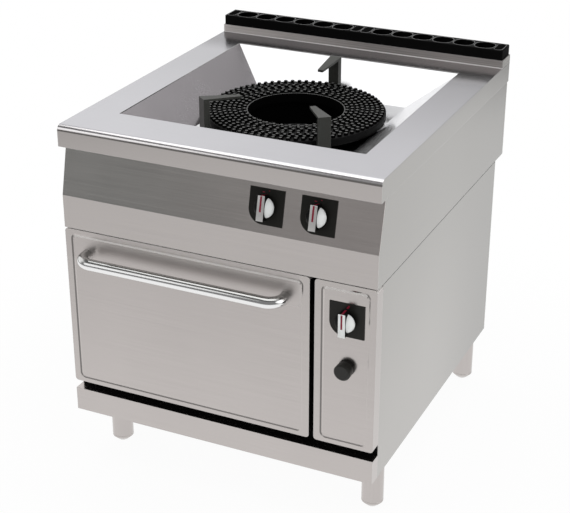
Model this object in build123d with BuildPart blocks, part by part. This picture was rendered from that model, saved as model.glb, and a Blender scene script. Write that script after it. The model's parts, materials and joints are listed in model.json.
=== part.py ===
"""Gas paella range: a free-standing module with a recessed ring burner over a gas oven.

Millimetres, +Z up, front towards -Y, +X to the right of someone facing the controls.
The origin is on the floor, midway between the front of the door handle and the back of the module.
"""
import os
from math import atan, atan2, cos, degrees, radians, sin, sqrt

from build123d import *

os.makedirs("parts", exist_ok=True)

# Whole module
module_width = 800.0
module_depth = 900.0
worktop_height = 900.0
upper_height = 254.0
base_height = 146.0
plinth_height = 61.0
edge_inset = 2.5
sheet = 1.5
worktop_sheet = 2.0
lip_height = 52.0
fit_gap = 0.3

# Worktop edge, upstand and flue
nosing_radius = 14.0
upstand_depth = 63.0
upstand_height = 20.0
flue_inset = 3.0
flue_height = 26.5
flue_wall = 4.0
flue_deck = 6.0
flue_cells = 6
flue_end = 27.8
flue_bar = 3.4
flue_cell_corner = 22.0
flue_edge = 3.5
flue_slot_edge = 8.0
flue_slot_end = 20.0

# Cooling slots in the upper back
vent_rows = 2
vents_per_row = 5
vent_pitch = 120.0
vent_row_pitch = 40.0
vent_length = 80.0
vent_width = 8.0

# Control panel
panel_set_back = 29.0
band_height = 81.6
panel_flange = 20.0
control_along_slope = 61.0
tap_from_right = 147.5
tap_pitch = 124.5

# Ring burner
burner_share = 0.4911
crown_radius = 221.0
crown_hole = 118.0
crown_height = 20.0
crown_shoulder = 7.0
crown_under_round = 8.0
crown_rim = 4.0
crown_rim_rise = 2.0
stud_rows = 8
first_row_studs = 40
studs_added_per_row = 5
stud_radius = 5.0
stud_height = 7.0
stud_root = 4.0
stud_margin = 4.0
crown_overhang = 31.0
body_inset = 7.0
body_height = 60.0
body_wall = 6.0
body_floor = 8.0
mixer_radius = 18.0
mixer_bore = 14.0
mixer_pitch = 65.0
mixer_rise = 20.0
mixer_mouth = 190.0
mixer_share = 0.65
rail_offset = 110.0
rail_width = 40.0
rail_sheet = 4.0
rail_flange = 25.0
pilot_offset = 15.0
pilot_inset = 14.0
pilot_radius = 6.0
probe_radius = 3.0

# Hopper
hopper_depth = 75.0
hopper_slope = 1.42
hopper_tuck = 14.0
hopper_stretch = 2.5
hopper_wall = 2.4
hopper_flange = 15.0
hopper_hole_gap = 5.0
crown_lift = 9.7

# Pan supports
support_gap = 27.0
support_arm = 101.0
support_rise = 22.0
support_drop = 7.5
support_bar = 6.0
support_leg = 16.0
support_root_width = 30.0
support_tip_width = 14.0
support_angles = {"back": 90.0, "left": 230.0, "right": 310.0}

# Oven cabinet
flue_overhang = 61.0
door_gap = 23.0
door_top_gap = 2.0
service_width = 148.5
door_thickness = 28.0
door_skin_sheet = 2.0
door_corner = 8.0
seal_gap = 4.0
panel_gap = 12.0
emboss_margin = 15.5
emboss_top_margin = 10.5
emboss_width = 8.0
emboss_depth = 1.2
emboss_corner = 15.0
oven_left_margin = 45.5
oven_right_margin = 49.0
oven_sill_rise = 53.5
oven_rear_gap = 165.5
oven_top_margin = 34.0
burner_well = 40.0
insulation = 26.0
gasket_width = 10.0
ledge_depth = 14.0
runner_shares = (0.223, 0.466, 0.709)
shelf_level = 1
shelf_rod = 4.0
shelf_wire = 2.5
shelf_wires = 13
oven_tube = 11.0
ports = 16
port_pitch = 26.0
port_length = 13.0
port_width = 3.0
flue_duct_depth = 40.0
flue_duct_width = 90.0
flue_duct_back_gap = 30.0
flue_duct_rise = 45.0
flue_duct_jog = 110.0
service_margin = 13.0

# Door hinge and handle
hinge_rise = 8.0
hinge_inset = 90.0
hinge_plate = 5.0
hinge_side_gap = 0.5
knuckle_radius = 7.5
knuckle_gap = 1.5
hinge_pin = 4.0
running_clearance = 0.05
lug_width = 12.0
handle_tube = 28.0
handle_stand_off = 44.0
handle_inset = 58.5
handle_below_top = 61.0
handle_bend = 34.0

# Controls
plate_width = 84.0
plate_height = 82.0
plate_corner = 35.0
plate_sheet = 2.0
knob_push = 5.0
knob_clear = 1.0
knob_base_radius = 24.0
knob_skirt = 5.0
knob_dome_rise = 17.0
knob_dome_bands = 4
knob_grip_width = 16.5
knob_grip_length = 57.0
knob_grip_height = 25.0
knob_round = 2.5
spindle_radius = 4.0
spindle_depth = 32.0
plug_radius = 8.0
plug_front = 8.0
plug_back = 44.0
plug_bore_end = 40.0
tap_flange_radius = 20.0
tap_flange = 4.0
tap_body_radius = 16.0
tap_body_end = 62.0
tap_nipple_radius = 5.0
tap_nipple = 6.0
tap_panel_hole = 9.0
thermostat_from_right = 70.0
thermostat_below_seam = 88.0
igniter_below_seam = 211.5
igniter_from_right = 72.0
button_radius = 20.0
button_reach = 23.0
button_wall = 1.5
button_cap = 5.0
button_travel = 6.0
button_clear = 2.0
button_edge = 3.5
barrel_radius = 10.0
barrel_depth = 40.0
barrel_nut_radius = 15.0
barrel_nut = 6.0

# Gas line
manifold_radius = 10.5
manifold_overrun = 35.0
manifold_bend = 30.0
feed_depth = 38.0
saddle_width = 24.0
saddle_gap = 0.1
feed_gap = 1.0
inlet_below_seam = 166.0
inlet_thread_radius = 13.2
inlet_thread = 30.0
inlet_flange_radius = 21.0
inlet_flange = 4.0
inlet_sleeve = 20.0
inlet_bore = 8.0
pipe_radius = 4.0
pipe_bend = 14.0
pipe_lead = 22.0
injector_radius = 8.0
injector_length = 28.0
injector_nose = 12.0
injector_nose_radius = 4.0
shutter_sheet = 2.0

# Legs
leg_radius = 27.0
leg_wall = 2.0
leg_cap = 6.0
leg_inset = 47.0
leg_front = 129.5
leg_rear_inset = 29.0
foot_flange = 16.0
foot_chamfer = 11.0
foot_stem = 55.0

# Reference planes that follow from the sizes above
handle_reach = handle_stand_off + handle_tube / 2
front = (handle_reach - module_depth) / 2
back = front + module_depth
top_x = module_width / 2
body_x = top_x - edge_inset
inner_x = body_x - sheet
seam_height = worktop_height - upper_height
under_top = worktop_height - worktop_sheet
lip_bottom = worktop_height - lip_height
slope_bottom = seam_height + band_height
burner_y = front + burner_share * module_depth
plinth_top = base_height + plinth_height
cabinet_back = back - flue_overhang
cabinet_top = seam_height - sheet
door_back = front + door_thickness
frame_front = door_back + seal_gap
frame_back = frame_front + sheet
door_bottom = plinth_top + door_gap
door_top = seam_height - door_top_gap
door_left = -body_x
service_left = body_x - service_width
door_right = service_left - panel_gap
door_width = door_right - door_left
lean = atan2(panel_set_back, lip_bottom - slope_bottom)
upstand_front = back - upstand_depth
flue_bottom = worktop_height + upstand_height
flue_top = flue_bottom + flue_height
flue_mid_y = back - upstand_depth / 2
flue_width = module_width - 2 * flue_inset
flue_pitch = (flue_width - 2 * flue_end) / (2 * flue_cells + 1)
emboss_angle = degrees(atan2(emboss_width / 2, emboss_depth))

body_radius = crown_radius - crown_overhang
body_bore = crown_hole + body_inset
hopper_floor = worktop_height - hopper_depth
floor_x = crown_radius - hopper_tuck
floor_y = floor_x + hopper_stretch
hopper_fall = hopper_depth - worktop_sheet
hopper_run = hopper_fall * hopper_slope
mouth_x = floor_x + hopper_run
mouth_y = floor_y + hopper_run
crown_bottom = hopper_floor + crown_lift
crown_deck = crown_bottom + crown_height
body_bottom = crown_bottom - body_height
rail_top = body_bottom
mixer_z = body_bottom + mixer_rise
outer_mixer_x = body_radius - mixer_radius - body_wall
inner_mixer_x = outer_mixer_x - mixer_pitch
support_radius = crown_radius + support_gap
support_top = worktop_height + support_rise

oven_left = door_left + oven_left_margin
oven_right = door_right - oven_right_margin
oven_width = oven_right - oven_left
oven_roof = cabinet_top - oven_top_margin
oven_sill = plinth_top + oven_sill_rise
oven_height = oven_roof - oven_sill
oven_base = oven_sill - burner_well
oven_rear = cabinet_back - oven_rear_gap
oven_mid_x = (oven_left + oven_right) / 2
oven_tube_y = (frame_back + oven_rear) / 2
oven_tube_z = oven_base + burner_well / 2

hinge_y = front + door_thickness / 2
hinge_z = door_bottom + hinge_rise
hinge_points = (door_left + hinge_inset, door_right - hinge_inset)
handle_z = door_top - handle_below_top

right_tap_x = body_x - tap_from_right
left_tap_x = right_tap_x - tap_pitch
tap_y = front + control_along_slope * sin(lean)
tap_z = slope_bottom + control_along_slope * cos(lean)
feed_drop = tap_body_radius + manifold_radius + feed_gap
knob_back = plate_sheet + knob_push + knob_clear
slope_normal = (0, -cos(lean), sin(lean))
left_tap_plane = Plane(origin=(left_tap_x, tap_y, tap_z), x_dir=(1, 0, 0), z_dir=slope_normal)
right_tap_plane = Plane(origin=(right_tap_x, tap_y, tap_z), x_dir=(1, 0, 0), z_dir=slope_normal)
thermostat_x = body_x - thermostat_from_right
thermostat_z = seam_height - thermostat_below_seam
thermostat_plane = Plane(origin=(thermostat_x, front, thermostat_z), x_dir=(1, 0, 0), z_dir=(0, -1, 0))
igniter_x = body_x - igniter_from_right
igniter_z = seam_height - igniter_below_seam
igniter_plane = Plane(origin=(igniter_x, front, igniter_z), x_dir=(1, 0, 0), z_dir=(0, -1, 0))
manifold_point = left_tap_plane.from_local_coords(Vector(0, -feed_drop, -feed_depth))
manifold_y = manifold_point.Y
manifold_z = manifold_point.Z
drop_x = thermostat_x + feed_drop
thermostat_feed = manifold_y - front
inlet_height = seam_height - inlet_below_seam

flue_outlet_z = oven_roof - flue_duct_depth / 2 - sheet
flue_riser_y = cabinet_back - flue_duct_depth - flue_duct_back_gap
flue_path = (
    (oven_rear + sheet, flue_outlet_z),
    (flue_riser_y, flue_outlet_z),
    (flue_riser_y, seam_height + flue_duct_rise),
    (flue_mid_y, seam_height + flue_duct_rise + flue_duct_jog),
    (flue_mid_y, worktop_height + upstand_height / 4),
)
leg_x = body_x - leg_inset
leg_points = {
    "front_left": (-leg_x, front + leg_front),
    "front_right": (leg_x, front + leg_front),
    "rear_left": (-leg_x, cabinet_back - leg_rear_inset),
    "rear_right": (leg_x, cabinet_back - leg_rear_inset),
}


def block(x, y, z, mode=Mode.ADD):
    """Adds or cuts a straight block that runs between the two ends given along each axis."""
    with Locations(((x[0] + x[1]) / 2, (y[0] + y[1]) / 2, (z[0] + z[1]) / 2)):
        Box(x[1] - x[0], y[1] - y[0], z[1] - z[0], mode=mode)


def keep(piece, name):
    """Labels a finished piece and writes its STEP file."""
    piece.part.label = name
    export_step(piece.part, f"parts/{name}.step")


def front_plane(x, z, y=front):
    """A plane facing the user, with its origin at the given place on the front."""
    return Plane(origin=(x, y, z), x_dir=(1, 0, 0), z_dir=(0, -1, 0))


# Worktop: one sheet with turned-down sides and a rolled front edge
with BuildPart() as worktop:
    block((-top_x, top_x), (front, back), (lip_bottom, worktop_height))
    fillet(worktop.faces().sort_by(Axis.Z)[-1].edges().sort_by(Axis.Y)[0], nosing_radius)
    open_faces = [worktop.faces().sort_by(Axis.Z)[0], worktop.faces().sort_by(Axis.Y)[-1]]
    offset(amount=-worktop_sheet, openings=open_faces)
    with BuildSketch(Plane((0, burner_y, under_top))):
        Rectangle(2 * mouth_x, 2 * mouth_y)
    extrude(amount=worktop_sheet, mode=Mode.SUBTRACT)
    slot_x = flue_width / 2 - flue_slot_end
    flue_slot_y = (upstand_front + flue_slot_edge, back - flue_slot_edge)
    block((-slot_x, slot_x), flue_slot_y, (under_top, worktop_height), Mode.SUBTRACT)
keep(worktop, "worktop")

# Hopper: four sloping walls and a flat floor with a round hole for the burner
mouth_plane = Plane(origin=(0, burner_y, under_top), x_dir=(1, 0, 0), z_dir=(0, 0, -1))
wall_angle = degrees(atan(hopper_slope))
with BuildPart() as hopper:
    with BuildSketch(mouth_plane):
        Rectangle(2 * (mouth_x + hopper_wall), 2 * (mouth_y + hopper_wall))
    extrude(amount=hopper_fall + sheet, taper=wall_angle)
    with BuildSketch(Plane((0, burner_y, under_top - sheet))):
        rim = hopper_wall + hopper_flange
        Rectangle(2 * (mouth_x + rim), 2 * (mouth_y + rim))
    extrude(amount=sheet)
    with BuildSketch(mouth_plane):
        Rectangle(2 * mouth_x, 2 * mouth_y)
    extrude(amount=hopper_fall, taper=wall_angle, mode=Mode.SUBTRACT)
    with BuildSketch(Plane((0, burner_y, hopper_floor - sheet))):
        Circle(body_radius + hopper_hole_gap)
    extrude(amount=sheet, mode=Mode.SUBTRACT)
keep(hopper, "hopper")

# Rear upstand: a low open box that carries the flue casting
with BuildPart() as rear_upstand:
    with BuildSketch(Plane((0, flue_mid_y, worktop_height))):
        Rectangle(module_width, upstand_depth)
        offset(amount=-worktop_sheet, kind=Kind.INTERSECTION, mode=Mode.SUBTRACT)
    extrude(amount=upstand_height)
keep(rear_upstand, "rear_upstand")

# Flue casting: hollow underneath, two groups of rounded openings either side of a plain middle
with BuildPart() as flue_grille:
    with BuildSketch(Plane((0, flue_mid_y, flue_bottom))):
        RectangleRounded(flue_width, upstand_depth, flue_edge)
    extrude(amount=flue_height)
    chamfer(flue_grille.faces().sort_by(Axis.Z)[-1].edges(), flue_edge / 2)
    with BuildSketch(Plane((0, flue_mid_y, flue_bottom))):
        Rectangle(flue_width - 2 * flue_wall, upstand_depth - 2 * flue_wall)
    extrude(amount=flue_height - flue_deck, mode=Mode.SUBTRACT)
    cell_steps = [step for step in range(-flue_cells, flue_cells + 1) if step != 0]
    with BuildSketch(Plane((0, flue_mid_y, flue_top))):
        with Locations([(step * flue_pitch, 0) for step in cell_steps]):
            RectangleRounded(flue_pitch - flue_bar, upstand_depth - 2 * flue_wall, flue_cell_corner)
    extrude(amount=-flue_deck, mode=Mode.SUBTRACT)
keep(flue_grille, "flue_grille")

# Control panel: bent sheet, upright band below and a leaning face above
panel_line = (
    (front, seam_height),
    (front, slope_bottom),
    (front + panel_set_back, lip_bottom),
    (front + panel_set_back, under_top),
)
with BuildPart() as control_panel:
    with BuildSketch(Plane.YZ):
        with BuildLine():
            Polyline(*panel_line)
            offset(amount=sheet, kind=Kind.INTERSECTION, side=Side.RIGHT)
        make_face()
    extrude(amount=body_x, both=True)
    flange_y = (front + sheet, front + panel_flange)
    block((-inner_x, inner_x), flange_y, (seam_height, seam_height + sheet))
    for plane in (left_tap_plane, right_tap_plane):
        with BuildSketch(plane):
            Circle(tap_panel_hole)
        extrude(amount=-2 * sheet, mode=Mode.SUBTRACT)
keep(control_panel, "control_panel")

# Upper side panels follow the leaning front; lower side panels are plain
side_inset = sheet + fit_gap
side_outline = (
    (front + side_inset, seam_height),
    (front + side_inset, slope_bottom),
    (front + panel_set_back + side_inset, lip_bottom),
    (front + panel_set_back + side_inset, under_top),
    (back - sheet, under_top),
    (back - sheet, seam_height),
)
for side, sign in (("left", -1), ("right", 1)):
    with BuildPart() as upper_side:
        with BuildSketch(Plane.YZ.offset(sign * inner_x)):
            Polygon(*side_outline, align=None)
        extrude(amount=sign * sheet)
    keep(upper_side, f"upper_side_{side}")

    with BuildPart() as lower_side:
        with BuildSketch(Plane.YZ.offset(sign * inner_x)):
            with Locations(((frame_front + cabinet_back - sheet) / 2, (base_height + cabinet_top) / 2)):
                Rectangle(cabinet_back - sheet - frame_front, cabinet_top - base_height)
        extrude(amount=sign * sheet)
    keep(lower_side, f"lower_side_{side}")

# Upper back with two rows of cooling slots
with BuildPart() as upper_back:
    block((-body_x, body_x), (back - sheet, back), (seam_height, under_top))
    slot_z = (seam_height + under_top) / 2
    with BuildSketch(front_plane(0, slot_z, back)):
        with GridLocations(vent_pitch, vent_row_pitch, vents_per_row, vent_rows):
            SlotOverall(vent_length, vent_width)
    extrude(amount=sheet, mode=Mode.SUBTRACT)
keep(upper_back, "upper_back")

# Deck plate between the burner compartment and the oven cabinet
duct_x = (oven_mid_x - flue_duct_width / 2, oven_mid_x + flue_duct_width / 2)
duct_y = (flue_path[1][0] - flue_duct_depth / 2, flue_path[1][0] + flue_duct_depth / 2)
with BuildPart() as deck_plate:
    deck_x = body_x - sheet / 2
    block((-deck_x, deck_x), (frame_front, back - sheet / 2), (cabinet_top, seam_height))
    with BuildSketch(Plane((drop_x, manifold_y, cabinet_top))):
        Circle(manifold_radius + sheet)
    extrude(amount=sheet, mode=Mode.SUBTRACT)
    hole_x = (duct_x[0] - sheet, duct_x[1] + sheet)
    hole_y = (duct_y[0] - sheet, duct_y[1] + sheet)
    block(hole_x, hole_y, (cabinet_top, seam_height), Mode.SUBTRACT)
keep(deck_plate, "deck_plate")

# Lower back with the hole for the gas inlet
with BuildPart() as lower_back:
    block((-body_x, body_x), (cabinet_back - sheet, cabinet_back), (base_height, cabinet_top))
    with BuildSketch(front_plane(drop_x, inlet_height, cabinet_back)):
        Circle(inlet_thread_radius + fit_gap)
    extrude(amount=-sheet, both=True, mode=Mode.SUBTRACT)
keep(lower_back, "lower_back")

# Base tray: floor, plinth front and the ledge under the door, folded from one sheet
with BuildPart() as base_tray:
    tray_line = (
        (cabinet_back - sheet, base_height + panel_flange),
        (cabinet_back - sheet, base_height),
        (front, base_height),
        (front, plinth_top),
        (frame_front, plinth_top),
    )
    with BuildSketch(Plane.YZ):
        with BuildLine():
            Polyline(*tray_line)
            offset(amount=sheet, kind=Kind.INTERSECTION, side=Side.RIGHT)
        make_face()
    extrude(amount=inner_x, both=True)
    for cheek_x in ((-body_x, -inner_x), (inner_x, body_x)):
        block(cheek_x, (front, frame_front), (base_height, plinth_top))
keep(base_tray, "base_tray")

# Legs: fixed sleeves, and feet that screw out of them
with BuildPart() as leg_sleeves:
    with BuildSketch(Plane.XY.offset(foot_flange)):
        with Locations(*leg_points.values()):
            Circle(leg_radius)
            Circle(leg_radius - leg_wall, mode=Mode.SUBTRACT)
    extrude(amount=base_height - foot_flange)
    with BuildSketch(Plane.XY.offset(base_height - leg_cap)):
        with Locations(*leg_points.values()):
            Circle(leg_radius)
    extrude(amount=leg_cap)
keep(leg_sleeves, "leg_sleeves")

for corner, (foot_x, foot_y) in leg_points.items():
    with BuildPart() as foot:
        with BuildSketch(Plane((foot_x, foot_y, 0))):
            Circle(leg_radius)
        extrude(amount=foot_flange)
        chamfer(foot.edges().group_by(Axis.Z)[0], foot_chamfer)
        with BuildSketch(Plane((foot_x, foot_y, foot_flange))):
            Circle(leg_radius - leg_wall - running_clearance)
        extrude(amount=foot_stem)
    keep(foot, f"foot_{corner}")

# Oven front frame behind the door, open at the oven mouth and behind the service panel
frame_bottom = plinth_top + fit_gap
with BuildPart() as oven_frame:
    block((-inner_x, inner_x), (frame_front, frame_back), (frame_bottom, cabinet_top))
    mouth_z = (oven_sill, oven_roof)
    block((oven_left, oven_right), (frame_front, frame_back), mouth_z, Mode.SUBTRACT)
    service_x = (service_left + service_margin, inner_x)
    service_z = (door_bottom, cabinet_top)
    block(service_x, (frame_front, frame_back), service_z, Mode.SUBTRACT)
keep(oven_frame, "oven_frame")

# Oven liner: enamelled box, open at the mouth, with a burner well under the floor plate
with BuildPart() as oven_liner:
    outer_x = (oven_left - sheet, oven_right + sheet)
    block(outer_x, (frame_back, oven_rear + sheet), (oven_base - sheet, oven_roof + sheet))
    block((oven_left, oven_right), (frame_back, oven_rear), (oven_base, oven_roof), Mode.SUBTRACT)
    well_z = (oven_base - sheet, oven_sill - sheet)
    block(outer_x, (frame_back, frame_back + sheet), well_z)
    outlet_z = flue_path[0][1]
    outlet = flue_duct_depth / 2 - sheet
    outlet_x = (duct_x[0] + sheet, duct_x[1] - sheet)
    outlet_y = (oven_rear, oven_rear + sheet)
    block(outlet_x, outlet_y, (outlet_z - outlet, outlet_z + outlet), Mode.SUBTRACT)
    with BuildSketch(Plane.YZ.offset(oven_right)):
        with Locations((oven_tube_y, oven_tube_z)):
            Circle(oven_tube + fit_gap)
    extrude(amount=sheet, mode=Mode.SUBTRACT)
keep(oven_liner, "oven_liner")

# Insulation round the sides, roof and rear of the liner
with BuildPart() as oven_insulation:
    wool_in = sheet + fit_gap
    wool_out = wool_in + insulation
    wool_y = (frame_back + insulation, oven_rear + wool_out)
    wool_z = (oven_base - sheet, oven_roof + wool_out)
    block((oven_left - wool_out, oven_right + wool_out), wool_y, wool_z)
    core_y = (frame_back, oven_rear + wool_in)
    core_z = (oven_base - 2 * sheet, oven_roof + wool_in)
    block((oven_left - wool_in, oven_right + wool_in), core_y, core_z, Mode.SUBTRACT)
    passage_x = (duct_x[0] - fit_gap, duct_x[1] + fit_gap)
    passage = flue_duct_depth / 2 + fit_gap
    passage_y = (oven_rear, oven_rear + wool_out)
    block(passage_x, passage_y, (outlet_z - passage, outlet_z + passage), Mode.SUBTRACT)
    with BuildSketch(Plane.YZ.offset(oven_right)):
        with Locations((oven_tube_y, oven_tube_z)):
            Circle(oven_tube + 2 * fit_gap)
    extrude(amount=wool_out, mode=Mode.SUBTRACT)
keep(oven_insulation, "oven_insulation")

# Oven floor plate on its own turned-down sides, over the oven burner
with BuildPart() as oven_floor:
    plate_x = (oven_left + fit_gap, oven_right - fit_gap)
    plate_y = (frame_back + 2 * sheet, oven_rear - insulation)
    block(plate_x, plate_y, (oven_base, oven_sill))
    channel_x = (plate_x[0] + sheet, plate_x[1] - sheet)
    block(channel_x, plate_y, (oven_base, oven_sill - sheet), Mode.SUBTRACT)
    with BuildSketch(Plane.YZ.offset(plate_x[1] - sheet)):
        with Locations((oven_tube_y, oven_tube_z)):
            Circle(oven_tube + 2 * sheet)
    extrude(amount=sheet, mode=Mode.SUBTRACT)
keep(oven_floor, "oven_floor")

# Shelf runners: pressed strips with three ledges on each side wall
runner_y = (frame_back + insulation, oven_rear - insulation)
ledge_z = [oven_sill + share * oven_height for share in runner_shares]
with BuildPart() as shelf_runners:
    for wall_x, sign in ((oven_left, 1), (oven_right, -1)):
        strip_x = sorted((wall_x, wall_x + sign * sheet))
        ledge_x = sorted((wall_x, wall_x + sign * ledge_depth))
        block(strip_x, runner_y, (ledge_z[0] - ledge_depth, ledge_z[-1] + 2 * ledge_depth))
        for level in ledge_z:
            block(ledge_x, runner_y, (level - sheet, level))
keep(shelf_runners, "shelf_runners")

# Wire shelf lying on the middle ledges
shelf_z = ledge_z[shelf_level] + shelf_rod
shelf_half = oven_width / 2 - sheet - shelf_rod - 4 * fit_gap
shelf_length = runner_y[1] - runner_y[0] - 2 * ledge_depth
with BuildPart() as oven_shelf:
    shelf_mid_y = (runner_y[0] + runner_y[1]) / 2
    for side_x in (oven_mid_x - shelf_half, oven_mid_x + shelf_half):
        with BuildSketch(Plane.XZ.offset(-(shelf_mid_y - shelf_length / 2 - shelf_rod))):
            with Locations((side_x, shelf_z)):
                Circle(shelf_rod)
        extrude(amount=-(shelf_length + 2 * shelf_rod))
    for rod_y in (shelf_mid_y - shelf_length / 2, shelf_mid_y + shelf_length / 2):
        with BuildSketch(Plane.YZ.offset(oven_mid_x - shelf_half)):
            with Locations((rod_y, shelf_z)):
                Circle(shelf_rod)
        extrude(amount=2 * shelf_half)
    with BuildSketch(Plane.XZ.offset(-(shelf_mid_y - shelf_length / 2))):
        with Locations((oven_mid_x, shelf_z)):
            with GridLocations(2 * shelf_half / (shelf_wires + 1), shelf_rod, shelf_wires, 1):
                RegularPolygon(shelf_wire, 6)
    extrude(amount=-shelf_length)
keep(oven_shelf, "oven_shelf")

# Oven burner: a straight tube across the well, fed through the right-hand wall
tube_left = oven_left + insulation
tube_right = oven_right + wool_out + fit_gap
with BuildPart() as oven_burner:
    with BuildSketch(Plane.YZ.offset(tube_left)):
        with Locations((oven_tube_y, oven_tube_z)):
            Circle(oven_tube)
            Circle(oven_tube - sheet, mode=Mode.SUBTRACT)
    extrude(amount=tube_right - tube_left)
    with BuildSketch(Plane.YZ.offset(tube_left)):
        with Locations((oven_tube_y, oven_tube_z)):
            Circle(oven_tube)
        with Locations((oven_tube_y, (oven_base + oven_tube_z) / 2)):
            Rectangle(2 * sheet, oven_tube_z - oven_base)
    extrude(amount=sheet)
    with BuildSketch(Plane((oven_mid_x - insulation, oven_tube_y, oven_tube_z))):
        with GridLocations(port_pitch, port_width, ports, 1):
            Rectangle(port_length, port_width)
    extrude(amount=oven_tube, mode=Mode.SUBTRACT)
keep(oven_burner, "oven_burner")

# Flue duct from the rear of the liner up into the flue box
with BuildPart() as oven_flue_duct:
    with BuildSketch(Plane.YZ.offset(duct_x[0])):
        with BuildLine():
            Polyline(*flue_path)
        trace(line_width=flue_duct_depth)
    extrude(amount=flue_duct_width)
    with BuildSketch(Plane.YZ.offset(duct_x[0] + sheet)):
        with BuildLine():
            Polyline(*flue_path)
        trace(line_width=flue_duct_depth - 2 * sheet)
    extrude(amount=flue_duct_width - 2 * sheet, mode=Mode.SUBTRACT)
keep(oven_flue_duct, "oven_flue_duct")

# Door gasket round the oven mouth
with BuildPart() as door_gasket:
    with BuildSketch(front_plane(oven_mid_x, (oven_sill + oven_roof) / 2, frame_front)):
        RectangleRounded(oven_width + 2 * gasket_width, oven_height + 2 * gasket_width, gasket_width)
        Rectangle(oven_width + 2 * sheet, oven_height + 2 * sheet, mode=Mode.SUBTRACT)
    extrude(amount=seal_gap - fit_gap)
keep(door_gasket, "door_gasket")


def pressed_front(left, right, depth, skin):
    """A folded front panel: flat face with turned-back edges and a V-shaped pressed border line."""
    width = right - left
    height = door_top - door_bottom
    plane = front_plane((left + right) / 2, (door_top + door_bottom) / 2)
    with BuildSketch(plane) as outline:
        RectangleRounded(width, height, door_corner)
    extrude(outline.sketch, amount=-depth)
    with BuildSketch(plane.offset(-skin)) as hollow:
        RectangleRounded(width - 2 * sheet, height - 2 * sheet, door_corner - sheet)
    extrude(hollow.sketch, amount=-depth, mode=Mode.SUBTRACT)
    border_width = width - 2 * emboss_margin
    border_height = height - 2 * emboss_top_margin
    with BuildSketch(plane) as border:
        RectangleRounded(border_width, border_height, emboss_corner)
    extrude(border.sketch, amount=-emboss_depth, taper=emboss_angle, mode=Mode.SUBTRACT)
    field_width = border_width - emboss_width
    field_height = border_height - emboss_width
    with BuildSketch(plane.offset(-emboss_depth)) as field:
        RectangleRounded(field_width, field_height, emboss_corner - emboss_width / 2)
    extrude(field.sketch, amount=emboss_depth, taper=emboss_angle)


# Service panel to the right of the door, carrying the oven control and the igniter
with BuildPart() as service_panel:
    pressed_front(service_left, body_x, frame_front - front, door_skin_sheet)
    for plane, radius in ((thermostat_plane, tap_panel_hole), (igniter_plane, barrel_radius + fit_gap)):
        with BuildSketch(plane):
            Circle(radius)
        extrude(amount=-door_skin_sheet, mode=Mode.SUBTRACT)
keep(service_panel, "service_panel")

# Oven door: outer skin, inner panel, insulation and hinge lugs round a slot for each hinge plate
slot_half = hinge_plate / 2 + hinge_side_gap
slot_y = (hinge_y - knuckle_radius - knuckle_gap, door_back)
slot_z = (door_bottom, hinge_z + knuckle_radius + knuckle_gap)
lug_half = slot_half + lug_width
lug_y = (front + door_skin_sheet, door_back - sheet - fit_gap)
lug_z = (door_bottom + sheet, slot_z[1] + lug_width)
with BuildPart() as door_skin:
    pressed_front(door_left, door_right, door_thickness, door_skin_sheet)
    for hinge_x in hinge_points:
        block((hinge_x - slot_half, hinge_x + slot_half), slot_y, slot_z, Mode.SUBTRACT)
keep(door_skin, "door_skin")

door_mid_x = (door_left + door_right) / 2
door_mid_z = (door_bottom + door_top) / 2
door_inner_width = door_width - 2 * (sheet + fit_gap)
door_inner_height = door_top - door_bottom - 2 * (sheet + fit_gap)
with BuildPart() as door_liner:
    with BuildSketch(front_plane(door_mid_x, door_mid_z, door_back)):
        RectangleRounded(door_inner_width, door_inner_height, door_corner)
    extrude(amount=sheet)
    for hinge_x in hinge_points:
        block((hinge_x - slot_half, hinge_x + slot_half), slot_y, slot_z, Mode.SUBTRACT)
keep(door_liner, "door_liner")

with BuildPart() as door_insulation:
    with BuildSketch(front_plane(door_mid_x, door_mid_z, front + door_skin_sheet + fit_gap)):
        RectangleRounded(door_inner_width - 2 * fit_gap, door_inner_height - 2 * fit_gap, door_corner)
    extrude(amount=-(door_thickness - door_skin_sheet - sheet - 2 * fit_gap))
    for hinge_x in hinge_points:
        pocket = lug_half + fit_gap
        pocket_z = (door_bottom, lug_z[1] + fit_gap)
        block((hinge_x - pocket, hinge_x + pocket), (front, door_back), pocket_z, Mode.SUBTRACT)
keep(door_insulation, "door_insulation")

with BuildPart() as door_hinge_lugs:
    for hinge_x in hinge_points:
        block((hinge_x - lug_half, hinge_x + lug_half), lug_y, lug_z)
        block((hinge_x - slot_half, hinge_x + slot_half), slot_y, slot_z, Mode.SUBTRACT)
        with BuildSketch(Plane.YZ.offset(hinge_x - lug_half)):
            with Locations((hinge_y, hinge_z)):
                Circle(hinge_pin + running_clearance)
        extrude(amount=2 * lug_half, mode=Mode.SUBTRACT)
keep(door_hinge_lugs, "door_hinge_lugs")

# Hinge brackets on the oven frame: a foot, a plate reaching into the door and a cross pin
with BuildPart() as hinge_brackets:
    for hinge_x in hinge_points:
        with BuildSketch(Plane.YZ.offset(hinge_x - hinge_plate / 2)):
            with Locations((hinge_y, hinge_z)):
                Circle(knuckle_radius)
            with Locations(((hinge_y + frame_front) / 2, hinge_z)):
                Rectangle(frame_front - hinge_y, 2 * knuckle_radius - sheet)
        extrude(amount=hinge_plate)
        pad_x = (hinge_x - lug_half, hinge_x + lug_half)
        pad_z = (hinge_z - lug_width / 2, hinge_z + lug_width / 2)
        block(pad_x, (frame_front - sheet, frame_front), pad_z)
        with BuildSketch(Plane.YZ.offset(hinge_x - lug_half)):
            with Locations((hinge_y, hinge_z)):
                Circle(hinge_pin)
        extrude(amount=2 * lug_half)
keep(hinge_brackets, "hinge_brackets")

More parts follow.
